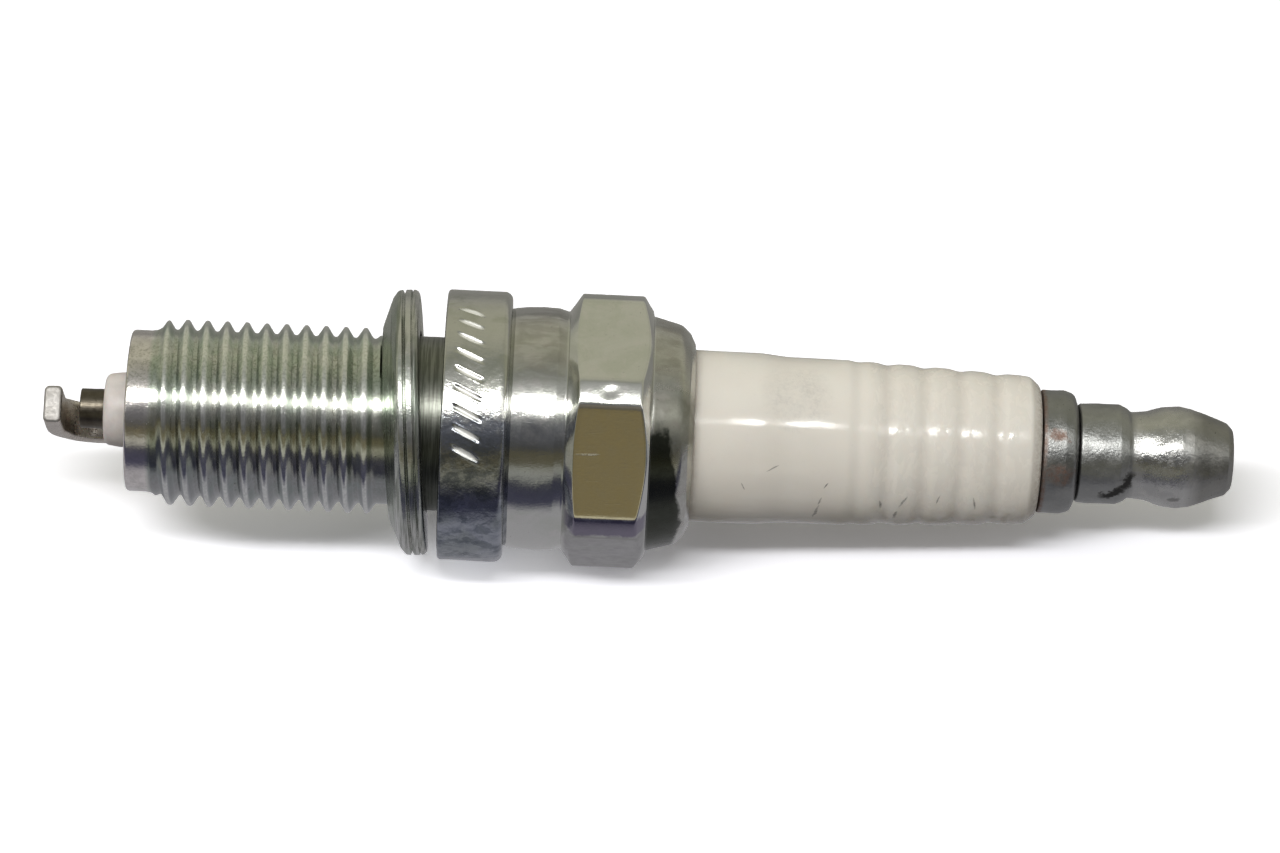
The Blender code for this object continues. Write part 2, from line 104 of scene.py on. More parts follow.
def divide(points, longest, span=(-1e9, 1e9)):
    """Split the straight runs of a profile that lie within a span of stations."""
    divided = [points[0]]
    for a, b in zip(points, points[1:]):
        n = 1
        if min(a[0], b[0]) >= span[0] and max(a[0], b[0]) <= span[1]:
            n = max(1, math.ceil(math.dist(a, b) / longest))
        divided += between(a, b, n, range(1, n + 1))
    return divided


def between(a, b, n, steps):
    """The chosen ones of the n equal steps from a to b."""
    return [(a[0] + (b[0] - a[0]) * k / n, a[1] + (b[1] - a[1]) * k / n) for k in steps]


def mesh_object(name, verts, faces, materials, sharp_angle):
    """Make an object of points in seat millimetres, welded and rid of collapsed faces."""
    points = np.array(verts, float)
    points[:, 0] += SEAT
    me = bpy.data.meshes.new(name)
    me.from_pydata((points * MM).tolist(), [], faces)
    me.update()
    bm = bmesh.new()
    bm.from_mesh(me)
    bmesh.ops.remove_doubles(bm, verts=bm.verts, dist=4e-7)
    bmesh.ops.dissolve_degenerate(bm, edges=bm.edges, dist=1e-8)
    bmesh.ops.recalc_face_normals(bm, faces=bm.faces)
    bm.to_mesh(me)
    bm.free()
    me.shade_smooth()
    me.set_sharp_from_angle(angle=math.radians(sharp_angle))
    for material in materials:
        me.materials.append(material)
    piece = bpy.data.objects.new(name, me)
    bpy.context.collection.objects.link(piece)
    return piece


class Skin:
    """Collects the strips of a body of revolution about X, in seat millimetres."""

    def __init__(self, sides):
        self.sides = sides
        self.verts = []
        self.faces = []

    def angles(self):
        """One angle per column from +Z towards -Y; the last column lies on the first."""
        return [math.tau * (j % self.sides) / self.sides for j in range(self.sides + 1)]

    def grid(self, columns):
        base = len(self.verts)
        rows = len(columns[0])
        for column in columns:
            self.verts += column
        for j in range(len(columns) - 1):
            a = base + j * rows
            b = a + rows
            self.faces += [(a + i, a + i + 1, b + i + 1, b + i) for i in range(rows - 1)]

    def revolve(self, profile, radius=None):
        """profile: a list of (x, r), or a function of the angle that gives such a list."""
        columns = []
        for angle in self.angles():
            s, c = math.sin(angle), math.cos(angle)
            column = []
            for x, r in (profile(angle) if callable(profile) else profile):
                if radius:
                    r = radius(x, angle, r)
                column.append((x, -r * s, r * c))
            columns.append(column)
        self.grid(columns)

    def thread(self, start, stop, root, crest, pitch, run, form, wear=None):
        """A helix that rises from the root and dies away again over the length of run."""
        turns = math.ceil((stop - start) / pitch) + 2
        columns = []
        for j, angle in enumerate(self.angles()):
            s, c = math.sin(angle), math.cos(angle)
            column = []
            for turn in range(-2, turns):
                for fraction, height in form:
                    x = start + pitch * (turn + fraction + (j + 0.5) / self.sides)
                    x = min(max(x, start), stop)
                    rise = min(1.0, (x - start) / run, (stop - x) / run)
                    rise = math.sin(rise * math.pi / 2)
                    r = root + (crest - root) * height * rise
                    if wear:
                        r += wear(x, angle) * rise
                    column.append((x, -r * s, r * c))
            columns.append(column)
        self.grid(columns)

    def mesh(self, name, materials, sharp_angle):
        return mesh_object(name, self.verts, self.faces, materials, sharp_angle)


def tube_faces(rings, sides):
    """Faces of a tube of rings, closed at both ends."""
    faces = []
    for i in range(rings - 1):
        for j in range(sides):
            a, b = i * sides + j, i * sides + (j + 1) % sides
            faces.append((a, b, b + sides, a + sides))
    faces.append(tuple(range(sides)))
    faces.append(tuple(range((rings - 1) * sides, rings * sides)))
    return faces


def dent(piece, scale, amount, seed, span):
    """Uneven a surface within a span of stations: smooth noise along the radius, in mm."""
    for v in piece.data.vertices:
        x = v.co.x / MM - SEAT
        r = math.hypot(v.co.y, v.co.z)
        if x < span[0] or x > span[1] or r < 1e-6:
            continue
        fade = min(1.0, (x - span[0]) / 0.6, (span[1] - x) / 0.6)
        spot = Vector((v.co.x / MM * scale + seed, v.co.y / MM * scale - seed,
                       v.co.z / MM * scale + 2.3 * seed))
        push = noise.noise(spot) * amount * fade * MM
        v.co.y += v.co.y / r * push
        v.co.z += v.co.z / r * push
    piece.data.update()


def use_second_material(piece, below):
    """Give the faces below a station the second material."""
    me = piece.data
    me.polygons.foreach_set("material_index",
                            [int(p.center.x / MM - SEAT < below) for p in me.polygons])


def place(piece, rides, replaces=None):
    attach(piece, rides)
    if replaces:
        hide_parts(replaces)


# ------------------------------------------------------------------ shader building
class Graph:
    """Short calls that add nodes to a shader tree; numbers and sockets both do as inputs."""

    def __init__(self, tree):
        self.tree = tree

    def new(self, kind, **props):
        node = self.tree.nodes.new("ShaderNode" + kind)
        for key, value in props.items():
            setattr(node, key, value)
        return node

    def link(self, output, socket):
        self.tree.links.new(output, socket)

    def put(self, socket, value):
        if isinstance(value, bpy.types.NodeSocket):
            self.link(value, socket)
        elif isinstance(value, (tuple, list)) and len(value) == 3 and socket.type == "RGBA":
            socket.default_value = (*value, 1.0)
        else:
            socket.default_value = value

    def math(self, operation, a, b=0.0):
        node = self.new("Math", operation=operation)
        self.put(node.inputs[0], a)
        self.put(node.inputs[1], b)
        return node.outputs[0]

    def chain(self, operation, values):
        total = values[0]
        for value in values[1:]:
            total = self.math(operation, total, value)
        return total

    def add(self, *terms):
        return self.chain("ADD", terms)

    def mul(self, *factors):
        return self.chain("MULTIPLY", factors)

    def largest(self, *values):
        return self.chain("MAXIMUM", values)

    def sub(self, a, b):
        return self.math("SUBTRACT", a, b)

    def vector(self, x, y, z):
        node = self.new("CombineXYZ")
        for socket, value in zip(node.inputs, (x, y, z)):
            self.put(socket, value)
        return node.outputs[0]

    def vector_math(self, operation, *values):
        node = self.new("VectorMath", operation=operation)
        for socket, value in zip(node.inputs, values):
            self.put(socket, value)
        return node.outputs["Value" if operation == "DOT_PRODUCT" else 0]

    def separate(self, vector):
        node = self.new("SeparateXYZ")
        self.link(vector, node.inputs[0])
        return node.outputs

    def noise(self, vector, scale, detail=3.0, rough=0.55, distortion=0.0):
        node = self.new("TexNoise")
        self.link(vector, node.inputs["Vector"])
        node.inputs["Scale"].default_value = scale
        node.inputs["Detail"].default_value = detail
        node.inputs["Roughness"].default_value = rough
        node.inputs["Distortion"].default_value = distortion
        return node.outputs[0]

    def ramp(self, value, stops):
        """stops: (position, colour)."""
        node = self.new("ValToRGB")
        self.link(value, node.inputs[0])
        elements = node.color_ramp.elements
        while len(elements) < len(stops):
            elements.new(0.5)
        for element, (position, colour) in zip(elements, stops):
            element.position = position
            element.color = (*colour, 1)
        return node.outputs[0]

    def remap(self, value, over, to=(0, 1), clamp=True):
        node = self.new("MapRange", clamp=clamp)
        self.put(node.inputs["Value"], value)
        for name, number in zip(("From Min", "From Max", "To Min", "To Max"), (*over, *to)):
            self.put(node.inputs[name], number)
        return node.outputs["Result"]

    def band(self, value, span, soft):
        """1 within the span, with soft shoulders."""
        low, high = span
        up = self.remap(value, over=(low - soft, low + soft))
        down = self.remap(value, over=(high - soft, high + soft), to=(1, 0))
        return self.mul(up, down)

    def mix(self, factor, a, b, blend="MIX"):
        node = self.new("Mix", data_type="RGBA", blend_type=blend)
        for index, value in ((0, factor), (6, a), (7, b)):
            self.put(node.inputs[index], value)
        return node.outputs[2]

    def shader(self, kind, colour, strength=None):
        node = self.new(kind)
        self.put(node.inputs[0], colour)
        if strength is not None:
            self.put(node.inputs[1], strength)
        return node.outputs[0]

    def mix_shader(self, factor, a, b):
        node = self.new("MixShader")
        for socket, value in zip(node.inputs, (factor, a, b)):
            self.link(value, socket)
        return node.outputs[0]


class Material(Graph):
    SOCKETS = {"metal": "Metallic", "ior": "IOR", "sss": "Subsurface Weight",
               "sss_scale": "Subsurface Scale", "spec": "Specular IOR Level"}

    def __init__(self, name):
        self.material = bpy.data.materials.new(name)
        self.material.use_nodes = True
        super().__init__(self.material.node_tree)
        self.bsdf = self.tree.nodes["Principled BSDF"]
        coordinates = self.new("TexCoord").outputs["Object"]
        self.point = self.vector_math("MULTIPLY", coordinates, (1000, 1000, 1000))    # mm
        self.colour = self.rough = self.normal = None

    @cached_property
    def cylinder(self):
        """Station, elevation in radians and radius."""
        x, y, z = self.separate(self.point)
        elevation = self.math("ARCTAN2", z, self.mul(y, -1.0))
        radius = self.math("SQRT", self.add(self.mul(y, y), self.mul(z, z)))
        return self.sub(x, SEAT), elevation, radius

    def streaks(self, along, around, depth, detail, rough, distortion=0.0):
        """Noise stretched on the cylinder: high along gives rings, high around gives lines."""
        x, elevation, _ = self.cylinder
        spot = self.vector(self.mul(x, along), self.mul(elevation, around), depth)
        return self.noise(spot, scale=1.0, detail=detail, rough=rough, distortion=distortion)

    def marks(self, strokes, rag):
        """Short ragged strokes on a round surface.

        strokes: station, elevation in degrees, surface radius, length, width, slant in degrees.
        """
        return self.largest(*[self.stroke(*stroke, rag) for stroke in strokes])

    def stroke(self, station, elevation, radius, length, width, slant, rag):
        x, angle, _ = self.cylinder
        axial = self.sub(x, station)
        around = self.mul(self.sub(angle, math.radians(elevation)), radius)
        c, s = math.cos(math.radians(slant)), math.sin(math.radians(slant))
        along = self.add(self.mul(axial, c), self.mul(around, s))
        across = self.sub(self.mul(around, c), self.mul(axial, s))
        ragged = self.noise(self.point, scale=1.6, detail=4, rough=0.7)
        across = self.add(across, self.mul(self.sub(ragged, 0.5), width * 2 * rag))
        a = self.math("DIVIDE", along, length / 2)
        b = self.math("DIVIDE", across, width / 2)
        distance = self.add(self.mul(a, a), self.mul(b, b))
        return self.remap(distance, over=(0.35, 1.2), to=(1, 0))

    def paint(self, mask, colour, strength=None):
        if strength is not None:
            mask = self.mul(mask, strength)
        self.colour = self.mix(mask, self.colour, colour)

    def roughen(self, mask, amount):
        self.rough = self.add(self.rough, self.mul(mask, amount))

    def emboss(self, height, depth):
        """Bump the surface; depth in mm."""
        node = self.new("Bump")
        node.inputs["Strength"].default_value = 1.0
        node.inputs["Distance"].default_value = depth * MM
        self.link(height, node.inputs["Height"])
        if self.normal is not None:
            self.link(self.normal, node.inputs["Normal"])
        self.normal = node.outputs[0]

    def finish(self, **values):
        self.put(self.bsdf.inputs["Base Color"], self.colour)
        self.put(self.bsdf.inputs["Roughness"], self.rough)
        self.put(self.bsdf.inputs["Normal"], self.normal)
        for key, value in values.items():
            self.put(self.bsdf.inputs[self.SOCKETS[key]], value)
        return self.material


class Plated(Material):
    """Bright plating over turned steel: tool rings, tiny pits, blotchy tints, dulled patches.

    ring, pits and wave are bump depths in mm; spots is the strength of the dark specks.
    """

    def __init__(self, name, colours, rough, seed, ring=0.0015, pits=0.004, wave=0.012, spots=0.35):
        super().__init__(name)
        radius = self.cylinder[2]
        spot = self.vector_math("ADD", self.point, (seed, seed * 1.7, -seed))
        self.blotch = self.noise(spot, scale=0.33, detail=4, rough=0.6, distortion=0.6)
        self.cloud = self.noise(spot, scale=1.25, detail=5, rough=0.65, distortion=0.3)
        self.fine = self.noise(spot, scale=5.5, detail=4, rough=0.6)
        grain = self.noise(spot, scale=16.0, detail=3, rough=0.6)

        self.colour = self.mix(self.remap(self.blotch, over=(0.42, 0.62)), colours[0], colours[1])
        self.paint(self.remap(self.cloud, over=(0.5, 0.72), to=(0, 0.75)), colours[2])
        speck = self.remap(self.fine, over=(0.66, 0.74), to=(0, spots))
        self.paint(speck, colour=(0.10, 0.095, 0.085))

        self.rough = rough
        self.roughen(self.remap(self.cloud, over=(0.35, 0.75)), amount=rough * 0.7)
        self.roughen(speck, amount=0.35)
        self.rough = self.add(self.rough, self.remap(grain, over=(0.3, 0.7), to=(-0.02, 0.05)))

        rings = self.streaks(along=9.0, around=0.5, depth=self.mul(radius, 9.0),
                             detail=3, rough=0.7)
        scratches = self.streaks(along=0.9, around=60.0, depth=radius, detail=2, rough=0.6)
        self.emboss(rings, depth=ring)
        self.emboss(self.remap(self.fine, over=(0.3, 0.75)), depth=pits)
        self.emboss(self.cloud, depth=wave)
        self.emboss(self.remap(scratches, over=(0.62, 0.75)), depth=0.0012)
        self.put(self.bsdf.inputs["Metallic"], 1.0)

    def tint_tarnish_and_painted_light(self, mask, tint, rough=0.0):
        """Multiply the colour by a tint where the mask is 1: used for real tarnish and tone, and for
        painted shade and painted reflection.
        """
        self.paint(mask, self.mix(1.0, self.colour, tint, "MULTIPLY"))
        if rough:
            self.roughen(mask, rough)

    def facing(self, span, soft, rag=0.0):
        """Mask by elevation in degrees; rag makes its border uneven."""
        degrees = self.mul(self.cylinder[1], 180 / math.pi)
        if rag:
            shift = self.remap(self.cloud, over=(0.25, 0.75), to=(-rag, rag), clamp=False)
            degrees = self.add(degrees, shift)
        return self.band(degrees, span, soft)


# ------------------------------------------------------------------ zinc plate
def paint_hexagon_shade_and_reflection(m):
    x = m.cylinder[0]
    on_hex = m.band(x, span=(7.9, 13.0), soft=0.15)
    # lower corner: a painted dark brown-violet reflection
    m.tint_tarnish_and_painted_light(m.mul(on_hex, m.facing(span=(-4.6, 5.2), soft=1.0, rag=1.6)),
              tint=(0.42, 0.385, 0.50), rough=0.03)
    # the flat turned to the viewer gets a painted olive-gold reflection, told by its own plane so
    # that the chamfers stay clear
    tilt = math.radians(30)
    plane = m.vector_math("DOT_PRODUCT", m.point, (0.0, -math.cos(tilt), math.sin(tilt)))
    flat = m.mul(m.facing(span=(5.2, 55.2), soft=0.5), m.remap(plane, over=(7.905, 7.935)))
    m.paint(m.mul(m.band(x, span=(8.32, 12.78), soft=0.03), flat),
            colour=m.mix(m.remap(m.cloud, over=(0.35, 0.65)), (1.0, 0.90, 0.68), (0.97, 0.885, 0.70)))
    # the flat below that corner: painted shade, evenly and then in clouds
    m.tint_tarnish_and_painted_light(m.mul(on_hex, m.facing(span=(-70, -4.6), soft=1.0)),
              tint=(0.59, 0.58, 0.60), rough=0.03)
    m.tint_tarnish_and_painted_light(m.mul(on_hex, m.facing(span=(-70, -6), soft=1.5), m.remap(m.cloud, over=(0.42, 0.62))),
              tint=(0.85, 0.845, 0.85), rough=0.03)


def paint_lip_shade_and_dull_patches(m):
    """Painted dark shade with a ragged edge on the lip's front, painted shade over its highlight, and
    duller patches.
    """
    x, elevation, _ = m.cylinder
    degrees = m.mul(elevation, 180 / math.pi)
    edge = m.sub(15.02, m.mul(m.math("ABSOLUTE", m.add(degrees, 12.0)), 0.011))
    coarse = m.remap(m.blotch, over=(0.3, 0.7), to=(-0.22, 0.22), clamp=False)
    small = m.remap(m.cloud, over=(0.3, 0.7), to=(-0.07, 0.07), clamp=False)
    ragged = m.add(m.sub(m.add(x, coarse), edge), small)
    lip = m.mul(m.remap(ragged, over=(-0.07, 0.10), to=(1, 0)), m.remap(x, over=(13.0, 13.1)))
    # painted dark shade on the lip's front
    m.tint_tarnish_and_painted_light(m.mul(lip, m.facing(span=(-50, 46), soft=4, rag=5)),
              tint=(0.13, 0.14, 0.125), rough=0.02)
    clouds = m.remap(m.cloud, over=(0.35, 0.65), to=(0.35, 0.75))
    m.tint_tarnish_and_painted_light(m.mul(m.remap(x, over=(13.1, 13.2)), clouds), tint=(0.62, 0.60, 0.56), rough=0.16)
    # painted shade over the lip's highlight, with more roughness
    m.tint_tarnish_and_painted_light(m.mul(m.remap(x, over=(13.05, 13.3)), m.facing(span=(34, 66), soft=5, rag=4)),
              tint=(0.50, 0.495, 0.47), rough=0.16)


def paint_groove_and_neck_shade(m):
    x, _, radius = m.cylinder
    groove = m.band(x, span=(4.1, 7.85), soft=0.06)
    # painted bluish shade on the groove's front, below the camera's level
    m.tint_tarnish_and_painted_light(m.mul(groove, m.facing(span=(12, 44), soft=6, rag=7)),
              tint=(0.74, 0.75, 0.80), rough=0.02)
    # painted dark shade over the neck, the recess between the gasket and the collar
    neck = m.band(x, span=(NECK_START, 0.0), soft=0.1)
    m.tint_tarnish_and_painted_light(neck, tint=(0.37, 0.38, 0.35), rough=0.22)
    turned = m.streaks(along=5.5, around=1.1, depth=0.0, detail=3, rough=0.7)
    m.tint_tarnish_and_painted_light(m.mul(neck, m.remap(turned, over=(0.45, 0.58), to=(0, 0.8))),
              tint=(0.45, 0.46, 0.43))
    # slow ripples left by the forming tool, along the groove and the lip, bumped in and also drawn as
    # painted shade on the upper side
    ripple = m.streaks(along=0.55, around=8.5, depth=m.mul(radius, 0.5),
                       detail=2, rough=0.5, distortion=0.4)
    tooled = m.largest(m.band(x, span=(4.4, 7.5), soft=0.3), m.band(x, span=(13.3, 15.0), soft=0.3))
    m.tint_tarnish_and_painted_light(m.mul(tooled, m.facing(span=(66, 150), soft=7),
                    m.remap(ripple, over=(0.43, 0.57), to=(0, 0.6))),
              tint=(0.70, 0.685, 0.66), rough=0.03)
    m.emboss(m.mul(ripple, m.mul(tooled, m.facing(span=(62, 140), soft=8))), depth=0.025)
    # painted shade on the groove's upper side
    m.tint_tarnish_and_painted_light(m.mul(m.band(x, span=(4.2, 7.7), soft=0.1), m.facing(span=(70, 150), soft=8, rag=6)),
              tint=(0.83, 0.82, 0.82))
    # painted shade on the neck's lower front
    m.tint_tarnish_and_painted_light(m.mul(neck, m.facing(span=(-90, 46), soft=8, rag=6)),
              tint=(0.64, 0.65, 0.64), rough=0.08)


def make_zinc():
    """The hexagon, the groove under it, the crimped lip and the neck."""
    m = Plated("zinc_plate", colours=((0.66, 0.665, 0.64), (0.60, 0.615, 0.57), (0.69, 0.67, 0.66)),
               rough=0.09, seed=3.1, ring=0.0004, pits=0.0022, wave=0.003)
    paint_hexagon_shade_and_reflection(m)
    paint_lip_shade_and_dull_patches(m)
    paint_groove_and_neck_shade(m)
    # a thin bright scratch across the flat turned to the viewer
    scratch = m.mul(m.marks([(9.2, 33.4, 8.0, 1.5, 0.11, 2)], rag=0.25),
                    m.remap(m.fine, over=(0.35, 0.55), to=(0.3, 1.0)))
    m.paint(scratch, colour=(0.95, 0.93, 0.86), strength=0.5)
    m.roughen(scratch, amount=0.22)
    m.emboss(scratch, depth=-0.006)
    return m.finish()


def make_zinc_collar():
    m = Plated("zinc_plate_collar",
               colours=((0.66, 0.665, 0.64), (0.61, 0.62, 0.58), (0.69, 0.68, 0.66)),
               rough=0.12, seed=6.3, wave=0.03)
    radius = m.cylinder[2]
    # painted dark bluish shade on the lower side: even, then in clouds, then in streaks
    m.tint_tarnish_and_painted_light(m.facing(span=(-85, 47), soft=5, rag=9), tint=(0.60, 0.63, 0.74), rough=0.02)
    m.tint_tarnish_and_painted_light(m.mul(m.facing(span=(-85, 44), soft=5),
                    m.remap(m.cloud, over=(0.45, 0.62), to=(0, 0.7))),
              tint=(0.55, 0.58, 0.62))
    shade_streaks = m.streaks(along=0.75, around=9.0, depth=m.mul(radius, 0.5), detail=4, rough=0.62)
    m.tint_tarnish_and_painted_light(m.mul(m.facing(span=(-85, 36), soft=5, rag=6),
                    m.remap(shade_streaks, over=(0.50, 0.57), to=(0, 0.75))),
              tint=(0.50, 0.53, 0.56), rough=0.04)
    # a painted warm olive reflection in a band below the camera's level
    m.tint_tarnish_and_painted_light(m.facing(span=(14, 31), soft=5, rag=6), tint=(0.98, 0.93, 0.80))
    # painted shade on the upper side
    m.tint_tarnish_and_painted_light(m.facing(span=(62, 140), soft=6), tint=(0.86, 0.86, 0.84))
    m.tint_tarnish_and_painted_light(m.remap(m.blotch, over=(0.5, 0.62), to=(0, 0.5)), tint=(0.80, 0.82, 0.76))
    # the struck notches are scraped bright
    cuts = m.marks([(NOTCH_STATION, angle, 8.5, 1.75, 0.44, -25.5) for angle in NOTCHES], rag=0.12)
    m.paint(cuts, colour=(0.97, 0.965, 0.93), strength=0.85)
    m.roughen(cuts, amount=0.30)
    return m.finish(metal=m.remap(cuts, over=(0, 1), to=(1.0, 0.55)))


def burnish_thread(m):
    """Lean the normals outwards, so that the flanks show a little of the whole thread's round."""
    x, _, radius = m.cylinder
    _, y, z = m.separate(m.point)
    outwards = m.vector_math("NORMALIZE", m.vector(0.0, y, z))
    burnish = m.add(m.remap(x, over=(-5.5, -5.1), to=(0.74, 1.5)),
                    m.mul(m.facing(span=(46, 59), soft=7), 0.9))
    amount = m.mul(m.remap(radius, over=(5.15, 5.2)), burnish)
    leaning = m.vector_math("MULTIPLY_ADD", outwards, m.vector(amount, amount, amount), m.normal)
    m.normal = m.vector_math("NORMALIZE", leaning)


def make_zinc_thread():
    """The thread and the plain pilot at the firing end."""
    m = Plated("zinc_plate_thread",
               colours=((0.63, 0.645, 0.60), (0.53, 0.585, 0.52), (0.66, 0.66, 0.62)),
               rough=0.12, seed=8.4, ring=0.0008, pits=0.004, wave=0.005, spots=0.6)
    x, _, radius = m.cylinder
    # painted shade: a slight warm darkening on the front, and a bluish one on the thread's lower
    # side, not on the pilot
    m.tint_tarnish_and_painted_light(m.facing(span=(2, 44), soft=6, rag=4), tint=(0.94, 0.92, 0.86))
    m.tint_tarnish_and_painted_light(m.mul(m.facing(span=(-75, 8), soft=5, rag=4), m.remap(x, over=(-18.4, -18.1))),
              tint=(0.66, 0.66, 0.73))
    pilot = m.remap(x, over=(-18.5, -18.2), to=(1, 0))
    m.paint(pilot, colour=m.mix(m.remap(m.cloud, over=(0.38, 0.62)),
                                (0.84, 0.80, 0.775), (0.66, 0.63, 0.61)))
    thread = m.sub(1.0, pilot)
    # painted shade on the upper side: greenish clouds and dark flecks
    m.tint_tarnish_and_painted_light(m.mul(m.facing(span=(60, 130), soft=8), thread,
                    m.remap(m.cloud, over=(0.42, 0.62), to=(0.0, 0.6))),
              tint=(0.78, 0.90, 0.78))
    m.tint_tarnish_and_painted_light(m.mul(m.facing(span=(60, 100), soft=8),
                    m.remap(m.fine, over=(0.5, 0.62), to=(0, 0.7))),
              tint=(0.62, 0.64, 0.58))
    # painted highlight along the crests, and painted shade on the flanks between them
    crest = m.mul(m.remap(radius, over=(5.76, 5.85)),
                  m.remap(m.fine, over=(0.3, 0.6), to=(0.85, 0.45)))
    flank = m.mul(m.band(radius, span=(5.36, 5.70), soft=0.05), thread)
    m.tint_tarnish_and_painted_light(m.mul(flank, m.remap(m.cloud, over=(0.35, 0.65), to=(0.5, 1.0))),
              tint=(0.76, 0.775, 0.75))
    m.paint(crest, colour=(0.93, 0.935, 0.90))
    # painted shade in the roots
    root = m.mul(m.remap(radius, over=(5.24, 5.40), to=(1, 0)),
                 m.band(x, span=(-18.2, NECK_START), soft=0.1))
    m.tint_tarnish_and_painted_light(m.mul(root, m.remap(m.fine, over=(0.3, 0.6), to=(0.1, 0.55))),
              tint=(0.62, 0.60, 0.54), rough=0.06)
    burnish_thread(m)
    return m.finish()


def make_zinc_gasket():
    m = Plated("zinc_gasket", colours=((0.60, 0.605, 0.58), (0.52, 0.55, 0.50), (0.64, 0.63, 0.61)),
               rough=0.17, seed=5.2, wave=0.02)
    x, _, radius = m.cylinder
    rings = m.streaks(along=4.2, around=1.6, depth=m.mul(radius, 4.2), detail=3, rough=0.6)
    m.tint_tarnish_and_painted_light(m.remap(rings, over=(0.5, 0.60), to=(0, 0.8)), tint=(0.42, 0.44, 0.41), rough=0.06)
    leaf = m.remap(m.add(x, m.mul(radius, 0.35)), over=(-0.15, 0.1), to=(1, 0))
    m.tint_tarnish_and_painted_light(m.mul(leaf, 0.75), tint=(0.62, 0.68, 0.60), rough=0.05)
    # the leaf next to the collar is rougher and gets painted shade where its highlight falls; the
    # lean follows the gasket's tilt
    _, y, z = m.separate(m.point)
    lean = m.add(m.mul(z, 0.0515), m.mul(y, 0.0498))
    rim = m.remap(m.add(x, lean), over=(-1.78, -1.66))
    m.tint_tarnish_and_painted_light(m.mul(rim, m.facing(span=(30, 84), soft=8, rag=5)),
              tint=(0.46, 0.475, 0.46), rough=0.12)
    return m.finish()


# ------------------------------------------------------------------ nickel
def nickel_plate(name, shade, seed):
    colours = [tuple(c * shade for c in colour)
               for colour in ((0.52, 0.52, 0.505), (0.43, 0.43, 0.42), (0.58, 0.57, 0.55))]
    m = Plated(name, colours, rough=0.25, seed=seed, ring=0.003, pits=0.012, wave=0.03, spots=0.75)
    x = m.cylinder[0]
    m.tint_tarnish_and_painted_light(m.band(x, span=(37.0, 43.6), soft=0.2), tint=(0.67, 0.68, 0.685), rough=0.04)
    m.tint_tarnish_and_painted_light(m.remap(x, over=(46.9, 48.0)), tint=(0.57, 0.565, 0.55), rough=0.06)
    # rubbed bright by the cap's spring
    m.rough = m.sub(m.rough, m.mul(m.band(x, span=(44.0, 46.5), soft=0.3), 0.08))
    return m


def make_nut_plate():
    m = nickel_plate("nickel_plate_nut", shade=1.0, seed=1.4)
    dark = m.marks([(42.4, -8, 3.1, 2.0, 0.8, 30), (43.25, 8, 2.85, 1.5, 0.9, 65)], rag=0.9)
    faint = m.marks([(46.3, -14, 3.1, 0.9, 0.5, 20)], rag=0.9)
    dirt = m.largest(dark, m.mul(faint, 0.5))
    m.paint(dirt, colour=(0.03, 0.028, 0.027), strength=0.9)
    m.roughen(dirt, amount=0.3)
    return m.finish()


def make_stud_plate():
    """The stud, with rust on its flange."""
    m = nickel_plate("nickel_plate_stud", shade=0.86, seed=7.7)
    patchy = m.noise(m.point, scale=2.2, detail=4, rough=0.7)
    spots = m.marks([(38.8, 22, 3.9, 1.6, 1.9, 85), (38.6, 60, 3.9, 0.9, 1.4, 80)], rag=0.9)
    spots = m.mul(spots, m.remap(patchy, over=(0.35, 0.6), to=(0.2, 1)))
    edge = m.mul(m.band(m.cylinder[0], span=(37.7, 38.02), soft=0.08),
                 m.remap(patchy, over=(0.3, 0.6), to=(0.1, 0.9)))
    rust = m.largest(spots, edge)
    m.paint(rust, colour=(0.23, 0.13, 0.095), strength=0.75)
    m.roughen(rust, amount=0.25)
    return m.finish()


def make_nickel_alloy(name, base, second, rough, stretch):
    """Drawn wire; stretch is the streaks' scale along X, Y and Z."""
    m = Material(name)
    clouds = m.noise(m.point, scale=1.4, detail=5, rough=0.65)
    fine = m.noise(m.point, scale=6.0, detail=4, rough=0.6)
    streaks = m.noise(m.vector_math("MULTIPLY", m.point, stretch), scale=1.0, detail=3, rough=0.65)
    m.colour = m.mix(m.remap(clouds, over=(0.38, 0.66)), base, second)
    m.paint(m.remap(streaks, over=(0.55, 0.8), to=(0, 0.4)),
            colour=tuple(min(1.0, c * 1.35) for c in base))
    m.rough = m.add(rough, m.remap(fine, over=(0.3, 0.7), to=(-0.05, 0.14)))
    m.emboss(streaks, depth=0.008)
    m.emboss(fine, depth=0.006)
    return m.finish(metal=1.0)


# ------------------------------------------------------------------ ceramic
# scuffs on the lower side that shows:
# station, elevation in degrees, surface radius, length, width, slant in degrees
SCUFFS = [
    (23.7, -14, 5.2, 1.5, 0.20, 78), (23.9, -2, 5.2, 0.7, 0.13, 70),
    (27.7, -5, 5.1, 0.8, 0.16, 95), (29.1, -1, 5.0, 1.1, 0.15, 62),
    (28.7, -17, 5.0, 1.0, 0.22, 80), (33.6, -2, 4.9, 1.1, 0.13, 100),
    (31.3, 2, 4.9, 0.8, 0.10, 74), (20.8, 24, 5.3, 0.9, 0.09, 30),
    (19.0, 10, 5.5, 0.6, 0.08, 115), (24.2, 12, 5.2, 0.5, 0.10, 60),
]


